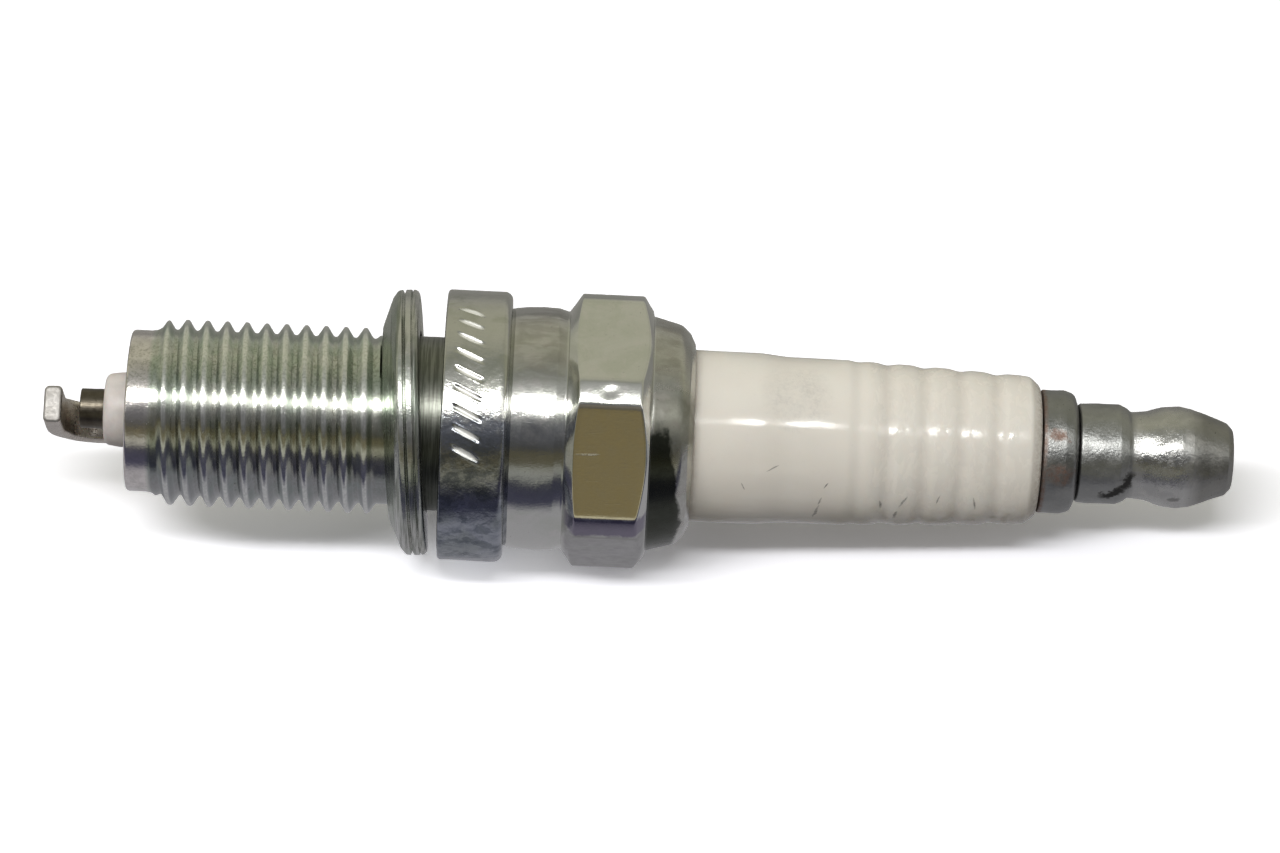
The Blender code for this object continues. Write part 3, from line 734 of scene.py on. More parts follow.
def darken_grooves_and_joints(m, cloud, dust):
    """Slightly darker and browner in the grooves between the ribs, with dirt by the joints."""
    x = m.cylinder[0]
    phase = m.math("COSINE", m.mul(m.sub(x, RIB_START), math.tau / RIB_PITCH))
    groove = m.mul(m.remap(phase, over=(-1.0, -0.2), to=(1, 0)),
                   m.band(x, span=(26.9, 36.0), soft=0.3))
    m.paint(m.mul(groove, m.remap(cloud, over=(0.3, 0.7), to=(0.05, 0.22))),
            colour=(0.52, 0.45, 0.39))
    foot = m.mul(m.remap(x, over=(15.7, 16.25), to=(1, 0)),
                 m.remap(cloud, over=(0.3, 0.65), to=(0.1, 0.5)))
    top = m.mul(m.remap(x, over=(37.0, 37.75)), m.remap(dust, over=(0.4, 0.65), to=(0.1, 0.75)))
    m.paint(m.largest(foot, top), colour=(0.34, 0.26, 0.20))


def ceramic_gloss(m):
    """The glaze is full on the plain neck; over the ribs only a few pools of it shine."""
    x = m.cylinder[0]
    pool = m.streaks(along=1.35, around=3.2, depth=4.0, detail=3, rough=0.6, distortion=0.5)
    pools = m.mul(m.band(x, span=(26.9, 37.0), soft=0.2),
                  m.remap(pool, over=(0.46, 0.51), to=(0.05, 0.60)))
    return m.largest(m.mul(m.band(x, span=(18.4, 24.3), soft=1.0), 0.5), pools, 0.06)


def make_ceramic():
    m = Material("glazed_alumina")
    soft = m.noise(m.point, scale=0.22, detail=3, rough=0.5)
    cloud = m.noise(m.point, scale=0.8, detail=4, rough=0.6)
    dust = m.noise(m.point, scale=3.6, detail=5, rough=0.72)
    tiny = m.noise(m.point, scale=11.0, detail=3, rough=0.6)
    m.colour = m.mix(m.remap(soft, over=(0.35, 0.65)), (0.86, 0.82, 0.75), (0.825, 0.78, 0.71))
    m.paint(m.remap(dust, over=(0.60, 0.80), to=(0, 0.16)), colour=(0.50, 0.44, 0.37))
    m.paint(m.mul(m.remap(tiny, over=(0.70, 0.78)), m.remap(cloud, over=(0.5, 0.7), to=(0, 0.35))),
            colour=(0.28, 0.24, 0.2))
    darken_grooves_and_joints(m, cloud, dust)

    scuff = m.mul(m.marks(SCUFFS, rag=0.8), m.remap(dust, over=(0.35, 0.6), to=(0.35, 0.95)))
    # a faint worn grey patch where the glaze has been rubbed
    rub = m.mul(m.marks([(22.2, 76, 5.35, 4.4, 5.0, 10)], rag=0.35),
                m.remap(dust, over=(0.36, 0.68), to=(0.08, 0.34)),
                m.remap(cloud, over=(0.40, 0.58), to=(0.5, 1.0)))
    specks = m.mul(m.marks([(22.5, 88, 5.35, 2.2, 2.4, 10)], rag=0.6),
                   m.remap(tiny, over=(0.52, 0.66), to=(0, 0.35)))
    rub = m.largest(rub, specks)
    m.paint(rub, colour=(0.42, 0.40, 0.375))
    m.paint(scuff, colour=(0.13, 0.115, 0.105), strength=0.85)

    m.rough = m.remap(dust, over=(0.4, 0.8), to=(0.08, 0.16))
    m.roughen(scuff, amount=0.3)
    m.roughen(rub, amount=0.12)
    m.roughen(m.band(m.cylinder[0], span=(26.0, 37.5), soft=1.0), amount=0.06)
    m.emboss(soft, depth=0.06)
    m.emboss(cloud, depth=0.018)
    m.emboss(dust, depth=0.003)
    m.bsdf.inputs["Subsurface Radius"].default_value = (1.0, 0.7, 0.5)
    return m.finish(metal=0.0, ior=1.58, sss=0.12, sss_scale=0.0012, spec=ceramic_gloss(m))


def make_nose():
    m = Material("unglazed_nose")
    cloud = m.noise(m.point, scale=1.2, detail=4, rough=0.6)
    fine = m.noise(m.point, scale=7.0, detail=4, rough=0.65)
    m.colour = m.mix(m.remap(cloud, over=(0.35, 0.65)), (0.73, 0.68, 0.655), (0.65, 0.60, 0.575))
    m.paint(m.remap(fine, over=(0.6, 0.8), to=(0, 0.3)), colour=(0.45, 0.38, 0.34))
    m.rough = 0.42
    m.emboss(fine, depth=0.006)
    return m.finish(ior=1.6, sss=0.15, sss_scale=0.0010)


# ------------------------------------------------------------------ pieces sealed inside
def make_plain(name, base, second, rough, metal=0.0, scale=4.0, depth=0.01):
    m = Material(name)
    cloud = m.noise(m.point, scale=scale, detail=5, rough=0.65)
    fine = m.noise(m.point, scale=scale * 4, detail=3, rough=0.6)
    m.colour = m.mix(m.remap(cloud, over=(0.35, 0.65)), base, second)
    m.rough = m.remap(fine, over=(0.3, 0.7), to=(rough * 0.8, rough * 1.2))
    m.emboss(fine, depth)
    return m.finish(metal=metal)


STEEL_WIRE = dict(base=(0.5, 0.5, 0.5), second=(0.38, 0.37, 0.36), rough=0.35, metal=1.0)
GLASS_POWDER = dict(base=(0.15, 0.16, 0.17), second=(0.30, 0.24, 0.16), rough=0.35,
                    scale=8, depth=0.02)
# frame node, material name, make_plain settings
INSIDE = [
    ("centre_electrode_copper_core", "copper_drawn",
     dict(base=(0.72, 0.36, 0.22), second=(0.60, 0.28, 0.17), rough=0.32, metal=1.0)),
    ("seat_packing_washer", "copper_washer",
     dict(base=(0.66, 0.34, 0.22), second=(0.52, 0.27, 0.18), rough=0.4, metal=1.0)),
    ("lower_packing_ring", "wire_steel", STEEL_WIRE),
    ("upper_packing_ring", "wire_steel_upper", STEEL_WIRE),
    ("talc_fill", "talc_pressed",
     dict(base=(0.80, 0.79, 0.75), second=(0.72, 0.71, 0.66), rough=0.85, scale=6, depth=0.03)),
    ("lower_glass_seal", "glass_powder", GLASS_POWDER),
    ("upper_glass_seal", "glass_powder_upper", GLASS_POWDER),
    ("resistor", "carbon_glass",
     dict(base=(0.07, 0.07, 0.07), second=(0.13, 0.125, 0.12), rough=0.7, scale=7, depth=0.03)),
]

zinc = make_zinc()
zinc_collar = make_zinc_collar()
zinc_thread = make_zinc_thread()
zinc_gasket = make_zinc_gasket()
nut_plate = make_nut_plate()
stud_plate = make_stud_plate()
strap_alloy = make_nickel_alloy("nickel_alloy_strap", base=(0.68, 0.63, 0.57),
                                second=(0.54, 0.48, 0.42), rough=0.26, stretch=(0.5, 14, 14))
cut_end_alloy = make_nickel_alloy("nickel_alloy_cut_end", base=(0.42, 0.405, 0.39),
                                  second=(0.35, 0.335, 0.315), rough=0.5, stretch=(16, 2.0, 2.0))
tip_alloy = make_nickel_alloy("nickel_alloy_tip", base=(0.13, 0.115, 0.09),
                              second=(0.09, 0.077, 0.058), rough=0.32, stretch=(0.6, 10, 10))
ceramic = make_ceramic()
nose = make_nose()
sealed = [(node, make_plain(name, **settings)) for node, name, settings in INSIDE]
for node, material in sealed:
    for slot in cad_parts[node].material_slots:
        slot.material = material


# ------------------------------------------------------------------ shell
# one pitch of the thread: fraction of the pitch, height from root (0) to crest (1)
THREAD_FORM = ((0.0, 0.0), (0.065, 0.02), (0.12, 0.12), (0.25, 0.49), (0.37, 0.86), (0.43, 0.975),
               (0.5, 1.0), (0.57, 0.975), (0.63, 0.86), (0.75, 0.49), (0.88, 0.12), (0.935, 0.02))

# profiles: station, radius, fillet radius
BELOW_HEX = [(NECK_START, THREAD_ROOT, 0), (-3.05, 5.5, 0.12), (-0.2, 5.5, 0), (4.12, 5.46, 0),
             (4.12, 7.50, 0.0), (4.35, 7.56, 0.25), (5.0, 7.66, 0.6), (6.1, 7.70, 1.0),
             (7.1, 7.66, 0.6), (7.62, 7.5, 0.2), (7.74, 7.5, 0.05), (7.80, 7.60, 0.05)]
CRIMPED_LIP = [(13.02, 7.74, 0.10), (13.08, 7.42, 0.08), (14.9, 6.93, 1.1), (15.45, 6.4, 0.6),
               (15.78, 5.72, 0.10), (15.62, 5.60, 0.06), (14.9, 5.62, 0)]
FIRING_END = [(-18.5, SHELL_BORE, 0), (-SHELL_REACH, SHELL_BORE, 0.12), (-SHELL_REACH, 5.10, 0.2),
              (-18.55, 5.10, 0.3), (-18.2, 5.16, 0.05), (THREAD_START, THREAD_ROOT, 0)]
# station, radius
SHELL_INSIDE = [(14.9, 5.62), (14.52, 6.0), (14.5, 6.55), (2.4, 6.55), (1.6, 4.25),
                (-8.377, 4.25), (-9.097, 3.35), (-9.4, 3.35), (-10.1, SHELL_BORE)]
SHELL_INSIDE += [(-12.5 - 2.0 * i, SHELL_BORE) for i in range(4)]


def hex_radius(angle):
    """Flats at 0, 60 ... degrees from +Z; a weighted mean over a small turn softens the edges."""
    total = 0.0
    for shift, weight in ((-1.1, 0.25), (0.0, 0.5), (1.1, 0.25)):
        a = (angle + math.radians(shift)) % (math.pi / 3)
        a = min(a, math.pi / 3 - a)
        total += weight * min(HEX_CORNER, HEX_FLAT / math.cos(a))
    return total


def shell_profile(angle):
    """The same number of points at every angle, so that neighbouring columns always meet."""
    radius = hex_radius(angle)
    rise = max(0.0, radius - HEX_FLAT)
    # the turned chamfers meet the hexagon where their cones reach the local radius
    before = BELOW_HEX + [(8.30 + rise * 0.28, radius, 0.16)]
    after = [(12.80 - rise * 0.50, radius, 0.28)] + CRIMPED_LIP
    steps = 4
    line = fillet(before + after, steps)
    head = sum(steps + 1 if row[2] > 0 and i else 1 for i, row in enumerate(before))
    return line[:head] + between(line[head - 1], line[head], 13, range(1, 13)) + line[head:]


def thread_wear(x, angle):
    return 0.018 * noise.noise(Vector((x * 1.3, math.cos(angle) * 4.1, math.sin(angle) * 4.1)))


def knock_hex_corner(piece):
    """A shallow, slanting knock on one corner of the hexagon."""
    station, elevation, depth = 10.45, math.radians(60.5), 0.075
    for v in piece.data.vertices:
        x = v.co.x / MM - SEAT
        r = math.hypot(v.co.y, v.co.z) / MM
        if 9.5 < x < 11.4 and r > 7.9:
            around = (math.atan2(v.co.z, -v.co.y) - elevation) * 8.8
            along = (x - station - 0.3 * around) / 0.34
            push = depth * math.exp(-along ** 2 - (around / 0.40) ** 2) * MM
            v.co.y -= v.co.y / r / MM * push
            v.co.z -= v.co.z / r / MM * push
    piece.data.update()


def make_shell():
    skin = Skin(320)
    skin.thread(start=THREAD_START, stop=THREAD_STOP, root=THREAD_ROOT, crest=THREAD_CREST,
                pitch=THREAD_PITCH, run=0.8, form=THREAD_FORM, wear=thread_wear)
    skin.revolve([(THREAD_STOP, THREAD_ROOT), (NECK_START, THREAD_ROOT)])
    skin.revolve(shell_profile)
    skin.revolve(SHELL_INSIDE)
    skin.revolve(fillet(FIRING_END, 4))
    shell = skin.mesh("metal_shell_body", [zinc, zinc_thread], sharp_angle=46)
    use_second_material(shell, below=-2.9)
    dent(shell, scale=0.35, amount=0.035, seed=2.0, span=(4.3, 7.5))
    dent(shell, scale=0.85, amount=0.018, seed=12.0, span=(4.3, 7.5))
    dent(shell, scale=0.45, amount=0.035, seed=4.0, span=(13.3, 15.6))
    knock_hex_corner(shell)
    place(shell, rides="plug", replaces="metal_shell")


make_shell()


# ------------------------------------------------------------------ collar under the hexagon
def notch_depth(x, angle):
    if not 0.6 < x < 2.7:
        return 0.0
    elevation = math.atan2(math.cos(angle), math.sin(angle))
    along = max(0.0, min(1.0, (x - 0.70) / 0.2, (2.55 - x) / 0.2))
    depth = 0.0
    for notch in NOTCHES:
        lean = (x - NOTCH_STATION) * 0.057
        away = abs((elevation - math.radians(notch) + lean) * COLLAR_RADIUS)
        if away < 0.3:
            across = 1 - min(1.0, away / 0.19) ** 2
            rim = 0.25 * math.exp(-((away - 0.235) / 0.05) ** 2)    # metal pushed up at the edges
            depth += (across - rim) * along if depth > 0.0 else 0.0
            depth = depth if depth > 0.0 else (across - rim) * along
    return depth * 0.075


def collar_radius(x, angle, r):
    return r - notch_depth(x, angle) if r > 8.0 else r


def make_collar():
    rim = fillet([(0.0, 5.5, 0), (0.0, COLLAR_RADIUS, 0.22), (COLLAR_WIDTH, COLLAR_RADIUS, 1.12),
                  (COLLAR_WIDTH, 7.48, 0)], 8)
    profile = []
    for a, b in zip(rim, rim[1:]):
        profile.append(a)
        if b[0] - a[0] > 1.5:        # the cylindrical land is laid out finely for the notches
            profile += between(a, b, 34, range(1, 34))
    profile += [rim[-1], (COLLAR_WIDTH, 5.5), (0.0, 5.5)]
    skin = Skin(800)
    skin.revolve(profile, collar_radius)
    collar = skin.mesh("metal_shell_collar", [zinc_collar], sharp_angle=46)
    dent(collar, scale=0.42, amount=0.035, seed=9.0, span=(0.3, 3.9))
    place(collar, rides="plug", replaces="metal_shell")


make_collar()


# ------------------------------------------------------------------ insulator
FOOT_RADIUS, BARREL_RADIUS, TOP_RADIUS = 5.43, 5.23, 4.72

# from the firing end to the crimped lip, then the terminal end: station, radius, fillet radius
INSULATOR_LOWER = [
    (-21.15, 1.32, 0), (-21.35, 1.47, 0.08), (-21.35, 2.22, 0.55), (-20.4, 2.36, 0.5),
    (-8.8, 3.0, 0.1), (-8.0, 4.0, 0.1), (2.15, 4.0, 0.1), (2.95, 6.2, 0.1), (3.15, 6.35, 0.1),
    (8.6, 6.35, 0.1), (8.8, 6.25, 0.1), (9.9, 5.5, 0.1), (15.2, 5.5, 0)]
INSULATOR_TOP = [(37.0, 4.66, 0.5), (37.66, 4.1, 0.5), (37.70, 3.2, 0.2), (37.70, 2.2, 0.05),
                 (37.5, 2.0, 0)]
INSULATOR_BORE = [(-5.6, 2.0), (-6.2, 1.32), (-21.15, 1.32)]    # station, radius


def insulator_radius(x):
    """The plain neck, its smooth step down, and the tapering ribs."""
    t = min(1.0, max(0.0, (x - 19.6) / 2.4))
    r = FOOT_RADIUS - (FOOT_RADIUS - BARREL_RADIUS) * t * t * (3 - 2 * t)
    if x > TAPER_START:
        taper = (BARREL_RADIUS - TOP_RADIUS) / (CERAMIC_TOP - TAPER_START)
        r -= taper * (x - TAPER_START)
        if x < RIB_START:
            turn = (x - TAPER_START) / (RIB_START - TAPER_START) * math.tau
            r -= 0.07 * (1 - math.cos(turn)) / 2
        elif x < 36.0:
            wave = 0.5 - 0.5 * math.cos(math.tau * (x - RIB_START) / RIB_PITCH)
            r -= 0.125 * wave ** 2.2
    return r


def make_insulator():
    body = [(x, insulator_radius(x)) for x in np.linspace(15.5, 36.1, 150)]
    top = fillet([(36.4, insulator_radius(36.4), 0)] + INSULATOR_TOP, 6)
    skin = Skin(224)
    skin.revolve(fillet(INSULATOR_LOWER, 6) + body + top + INSULATOR_BORE)
    insulator = skin.mesh("insulator_body", [ceramic, nose], sharp_angle=40)
    use_second_material(insulator, below=-8.0)
    dent(insulator, scale=0.28, amount=0.05, seed=1.0, span=(15.8, 37.6))
    place(insulator, rides="plug", replaces="insulator")


make_insulator()


# ------------------------------------------------------------------ electrodes
# station, radius, fillet radius
CENTRE_ELECTRODE = [
    (-22.9, 0.0, 0), (-22.9, 1.25, 0.10), (-21.9, 1.25, 0.02), (-21.8, 1.265, 0.02),
    (-6.15, 1.25, 0), (-5.55, 1.85, 0), (-5.1, 1.85, 0), (-5.1, 1.55, 0), (-4.4, 1.55, 0),
    (-4.4, 0.67, 0), (-20.4, 0.67, 0), (-20.6, 0.0, 0)]


def make_centre_electrode():
    skin = Skin(96)
    skin.revolve(fillet(CENTRE_ELECTRODE, 4))
    electrode = skin.mesh("centre_electrode_sheath", [tip_alloy], sharp_angle=40)
    place(electrode, rides="plug", replaces="centre_electrode")


make_centre_electrode()

STRAP_TURN = math.radians(213.4)     # about the axis, from +Z towards -Y
STRAP_OUT = Vector((0.0, -math.sin(STRAP_TURN), math.cos(STRAP_TURN)))
STRAP_SIDE = Vector((1.0, 0.0, 0.0)).cross(STRAP_OUT)
STRAP_HALF_WIDTH, STRAP_HALF_THICK, STRAP_EDGE = 1.2, 0.575, 0.33
STRAP_END = -25.2                    # far face of the arm
STRAP_BEND = 2.4                     # radius of the bend's middle line
STRAP_FOOT, STRAP_LEG = 4.43, 4.45   # distance of the middle line from the axis
STRAP_MIDDLE = STRAP_END + STRAP_HALF_THICK
STRAP_TIP = -0.68                    # the arm stops this far past the axis
STRAP_ROUND = STRAP_EDGE * 0.6       # rounded rim of the cut end


def strap_path():
    """Middle line of the strap: station, distance along STRAP_OUT, angle turned."""
    bend_x, bend_out = STRAP_MIDDLE + STRAP_BEND, STRAP_LEG - STRAP_BEND
    path = [(-19.84, STRAP_FOOT, 0.0), (-20.2, STRAP_FOOT, 0.0), (-20.8, 4.44, 0.0),
            (-21.5, STRAP_LEG, 0.0), (bend_x, STRAP_LEG, 0.0)]
    steps = 20
    for i in range(1, steps + 1):
        a = math.pi / 2 * i / steps
        path.append((bend_x - STRAP_BEND * math.sin(a), bend_out + STRAP_BEND * math.cos(a), a))
    return path + [(STRAP_MIDDLE, out, math.pi / 2) for out in (1.2, 0.4, -0.3, STRAP_TIP)]


def strap_section():
    """A rounded rectangle: sideways, through the thickness."""
    section = []
    for quarter, (sx, sy) in enumerate(((1, 1), (-1, 1), (-1, -1), (1, -1))):
        for k in range(7):
            a = math.radians(90 * quarter + 90 * k / 6)
            section.append((sx * (STRAP_HALF_WIDTH - STRAP_EDGE) + STRAP_EDGE * math.cos(a),
                            sy * (STRAP_HALF_THICK - STRAP_EDGE) + STRAP_EDGE * math.sin(a)))
    return section


def make_strap():
    """The ground strap: swept along its leg, round its bend and over the centre electrode."""
    section = strap_section()
    # place on the path, scale of the width, scale of the thickness
    stations = [(spot, 1.0, 1.0) for spot in strap_path()]
    for k in range(1, 6):
        t = math.pi / 2 * k / 5
        inset = STRAP_ROUND * (1 - math.cos(t))
        spot = (STRAP_MIDDLE, STRAP_TIP - STRAP_ROUND * math.sin(t), math.pi / 2)
        stations.append((spot, 1 - inset / STRAP_HALF_WIDTH, 1 - inset / STRAP_HALF_THICK))
    verts = []
    for (x, out, a), width_scale, thick_scale in stations:
        across = Vector((-math.sin(a), 0, 0)) + STRAP_OUT * math.cos(a)
        centre = Vector((x, 0, 0)) + STRAP_OUT * out
        wide = 1.0 + 0.05 * math.exp(-((a - 0.8) / 0.5) ** 2)    # the inside of a bend swells
        for sideways, through in section:
            swell = 1.0 + (wide - 1.0) * (1.0 if through < 0 else -0.3)
            verts.append(tuple(centre + STRAP_SIDE * (sideways * width_scale * swell)
                               + across * (through * thick_scale)))
    strap = mesh_object("ground_electrode_strap", verts, tube_faces(len(stations), len(section)),
                        [strap_alloy, cut_end_alloy], sharp_angle=40)
    end = Vector((STRAP_MIDDLE, 0, 0)) + STRAP_OUT * (STRAP_TIP - STRAP_ROUND)
    for p in strap.data.polygons:
        centre = Vector((p.center.x / MM - SEAT, p.center.y / MM, p.center.z / MM))
        if (centre - end).dot(STRAP_OUT) < 0.06:
            p.material_index = 1
    for v in strap.data.vertices:    # slightly uneven all over
        spot = Vector((v.co.x / MM, v.co.y / MM, v.co.z / MM)) * 0.9
        shifts = Vector((0, 0, 0)), Vector((5, 0, 0)), Vector((0, 7, 0))
        v.co += Vector([noise.noise(spot + shift) for shift in shifts]) * 0.02 * MM
    place(strap, rides="plug", replaces="ground_electrode")


make_strap()


def make_weld():
    """The squeezed-out rim of the resistance weld at the strap's foot."""
    verts = []
    sides, rings = 48, 7
    for i in range(rings):
        t = i / (rings - 1)
        flare = 0.18 * (1 - t) ** 2
        half_width, half_thick = 1.215 + flare * 0.9, 0.585 + flare * 0.55
        x = -SHELL_REACH - 0.02 - 0.34 * t
        for j in range(sides):
            a = math.tau * j / sides
            c, s = math.cos(a), math.sin(a)
            square = (abs(c) ** 5 + abs(s) ** 5) ** (-0.2)       # swells the circle to a box
            lump = 1 + 0.035 * math.sin(3 * a + 1.1) + 0.03 * math.sin(7 * a) if t < 0.8 else 1
            verts.append(tuple(Vector((x, 0, 0))
                               + STRAP_OUT * (STRAP_FOOT + half_thick * square * s * lump)
                               + STRAP_SIDE * (half_width * square * c * lump)))
    weld = mesh_object("ground_electrode_weld_rim", verts, tube_faces(rings, sides),
                       [strap_alloy], sharp_angle=60)
    place(weld, rides="plug")


make_weld()

# ------------------------------------------------------------------ gasket
# the folded section: station, radius, fillet radius
GASKET = [
    (1.1, 5.78, 0), (1.1, 8.22, 0.40), (0.88, 8.39, 0.14), (0.74, 8.40, 0.04), (0.68, 8.22, 0.03),
    (0.62, 8.41, 0.04), (0.28, 8.41, 0.05), (0.17, 8.14, 0.03), (0.06, 8.40, 0.05),
    (-0.22, 8.37, 0.28), (-0.55, 7.95, 0.4), (-1.0, 6.75, 0.8), (-1.25, 6.12, 0.12),
    (-1.02, 6.02, 0.10), (-0.62, 6.75, 0.8), (-0.12, 7.75, 0.3), (0.25, 8.05, 0.15),
    (0.58, 7.85, 0.15), (0.68, 7.5, 0.1), (0.68, 5.80, 0), (1.1, 5.78, 0)]
GASKET_STATION = -2.35
GASKET_TILT = math.radians(4.1)
GASKET_TILT_AXIS = math.radians(44.0)    # elevation


def make_gasket():
    skin = Skin(288)
    skin.revolve(divide(fillet(GASKET), longest=0.3))
    gasket = skin.mesh("gasket_folded", [zinc_gasket], sharp_angle=50)
    for v in gasket.data.vertices:       # a used gasket is never quite flat or round
        a = math.atan2(v.co.z, v.co.y)
        v.co.x += (0.035 * math.sin(2 * a + 0.6) + 0.02 * math.sin(3 * a + 1.9)) * MM
        r = math.hypot(v.co.y, v.co.z)
        if r / MM > 7.5:
            stretch = 0.02 * math.sin(4 * a + 0.4) * MM / r
            v.co.y *= 1 + stretch
            v.co.z *= 1 + stretch
    # built about the seat: carry it to where it hangs, then cock it
    axis = Vector((0.0, -math.cos(GASKET_TILT_AXIS), math.sin(GASKET_TILT_AXIS)))
    hang = Matrix.Translation(Vector(((SEAT + GASKET_STATION) * MM, 0, 0)))
    to_origin = Matrix.Translation((-SEAT * MM, 0, 0))
    gasket.data.transform(hang @ Matrix.Rotation(GASKET_TILT, 4, axis) @ to_origin)
    gasket.data.update()
    place(gasket, rides="gasket", replaces="gasket")


make_gasket()

# ------------------------------------------------------------------ terminal
# one pitch: fraction of the pitch, height from root (0) to crest (1)
SMALL_FORM = ((0.0, 0.0), (0.08, 0.05), (0.2, 0.4), (0.36, 0.9), (0.42, 1.0), (0.58, 1.0),
              (0.64, 0.9), (0.8, 0.4), (0.92, 0.05))
SMALL_THREAD = dict(pitch=0.7, run=0.45, form=SMALL_FORM)
STUD_THREAD_START, STUD_THREAD_STOP, STUD_ROOT = 41.2, 47.6, 1.58

# station, radius
SHANK = [(9.65, 0.0), (9.75, 1.3), (10.0, 1.5), (10.25, 1.5), (10.45, 1.3), (10.7, 1.5),
         (10.95, 1.5), (11.15, 1.3), (11.4, 1.5), (11.65, 1.5), (11.85, 1.3), (12.1, 1.5),
         (36.9, 1.5), (37.1, 1.85), (37.75, 1.85)]
# station, radius, fillet radius
FLANGE = [(37.75, 1.85, 0), (37.76, 3.9, 0.14), (39.2, 3.9, 0.35), (39.85, 3.72, 0.45),
          (40.05, 3.15, 0.15), (40.05, 1.98, 0.02), (40.9, 1.9, 0.05),
          (STUD_THREAD_START, STUD_ROOT, 0)]
STUD_TIP = [(STUD_THREAD_STOP, STUD_ROOT, 0), (48.0, 1.2, 0.08), (48.0, 0.0, 0)]


def make_stud():
    skin = Skin(112)
    skin.thread(start=STUD_THREAD_START, stop=STUD_THREAD_STOP, root=STUD_ROOT, crest=1.95,
                **SMALL_THREAD)
    skin.revolve(SHANK + divide(fillet(FLANGE, 6), longest=0.3, span=(37.7, 40.1)))
    skin.revolve(fillet(STUD_TIP, 4))
    stud = skin.mesh("terminal_stud_turned", [stud_plate], sharp_angle=40)
    dent(stud, scale=0.8, amount=0.05, seed=6.0, span=(37.9, 40.0))
    place(stud, rides="plug", replaces="terminal_stud")


make_stud()

NUT_BORE = 2.38
# station, radius, fillet radius
NUT_BORE_END = [(NUT_START + 8.1, NUT_BORE, 0), (NUT_START + 8.35, 1.8, 0.1),
                (NUT_START + 8.5, 0.0, 0)]
NUT_OUTSIDE = [
    (NUT_START + 1.1, NUT_BORE, 0), (NUT_START + 0.35, NUT_BORE, 0.1), (NUT_START, 2.58, 0.05),
    (NUT_START, 3.13, 0.20), (42.75, 3.16, 0.35), (43.25, 2.95, 0.25), (43.5, 2.74, 0.22),
    (44.5, 2.80, 1.2), (45.5, 3.13, 1.6), (46.6, 3.20, 0.8), (47.35, 3.10, 0.25),
    (49.62, 2.28, 0.28), (49.97, 1.92, 0.16), (50.0, 1.3, 0.02), (50.0, 0.0, 0)]


def make_nut():
    skin = Skin(144)
    skin.thread(start=NUT_START + 1.1, stop=NUT_START + 8.1, root=NUT_BORE, crest=2.08,
                **SMALL_THREAD)
    skin.revolve(fillet(NUT_BORE_END, 3))
    skin.revolve(divide(fillet(NUT_OUTSIDE, 6), longest=0.28, span=(NUT_START, 50.0)))
    nut = skin.mesh("terminal_nut_turned", [nut_plate], sharp_angle=46)
    dent(nut, scale=0.75, amount=0.075, seed=3.0, span=(NUT_START + 0.1, 49.9))
    place(nut, rides="terminal_nut", replaces="terminal_nut")


make_nut()

# ------------------------------------------------------------------ floor
REST_TILT = math.radians(3.41)       # the plug rests on its collar and on the hexagon's edge
# the arc of the collar that touches the floor: station and height of its centre, its radius
ARC_STATION, ARC_HEIGHT, ARC_RADIUS = 2.95, 7.4, 1.15
FLOOR_GAP = 0.00003                  # metres
FLOOR_HALF = 4.0                     # metres
FLOOR_WHITE = 1.36                   # the paper is burnt out to white for the camera

# painted reflection, a glow that only bright metal sees, from the near side to the far side: pale
# paper, a dark strip in front of the plug, pale paper under and behind it
FLOOR_REFLECTION = [
    (0.0, (0.40, 0.40, 0.35)), (0.12, (0.22, 0.22, 0.20)), (0.22, (0.07, 0.07, 0.085)),
    (0.545, (0.065, 0.065, 0.10)), (0.575, (0.38, 0.375, 0.395)), (0.66, (0.39, 0.385, 0.40)),
    (0.72, (0.30, 0.295, 0.275)), (1.0, (0.28, 0.275, 0.255))]


def floor_for_camera(m):
    """White paper, with a painted glow added for the camera that grows towards the near side and
    shifts along X, so that the shadows stay open.
    """
    lit = m.shader("BsdfDiffuse", colour=(FLOOR_WHITE, FLOOR_WHITE, FLOOR_WHITE * 1.06))
    x, y, _ = m.separate(m.point)
    shift = m.add(m.remap(x, over=(-25, -14), to=(-5.5, -1.5)),
                  m.remap(x, over=(-10, -2), to=(0.0, -2.5)),
                  m.remap(x, over=(-2, 8), to=(0.0, 4.0)))
    strength = m.remap(m.add(y, shift), over=(-9.0, -3.0), to=(0.50, 0.075))
    both = m.new("AddShader")
    m.link(lit, both.inputs[0])
    m.link(m.shader("Emission", colour=(1, 1, 1.02), strength=strength), both.inputs[1])
    return both.outputs[0]


def floor_in_metal(m):
    x, y, _ = m.separate(m.point)
    shift = m.remap(x, over=(-9, -3), to=(-4.5, 0.0))
    reach = m.remap(m.add(y, shift), over=(-120, 60))
    # painted reflection: the floor glows, for glossy rays only
    return m.shader("Emission", colour=m.ramp(reach, FLOOR_REFLECTION))


def make_floor_paper():
    m = Material("floor_paper")
    path = m.new("LightPath").outputs
    dull = m.shader("BsdfDiffuse", colour=(0.24, 0.235, 0.24))
    unseen = m.mix_shader(path["Is Glossy Ray"], dull, floor_in_metal(m))
    surface = m.mix_shader(path["Is Camera Ray"], unseen, floor_for_camera(m))
    m.link(surface, m.tree.nodes["Material Output"].inputs[0])
    return m.material


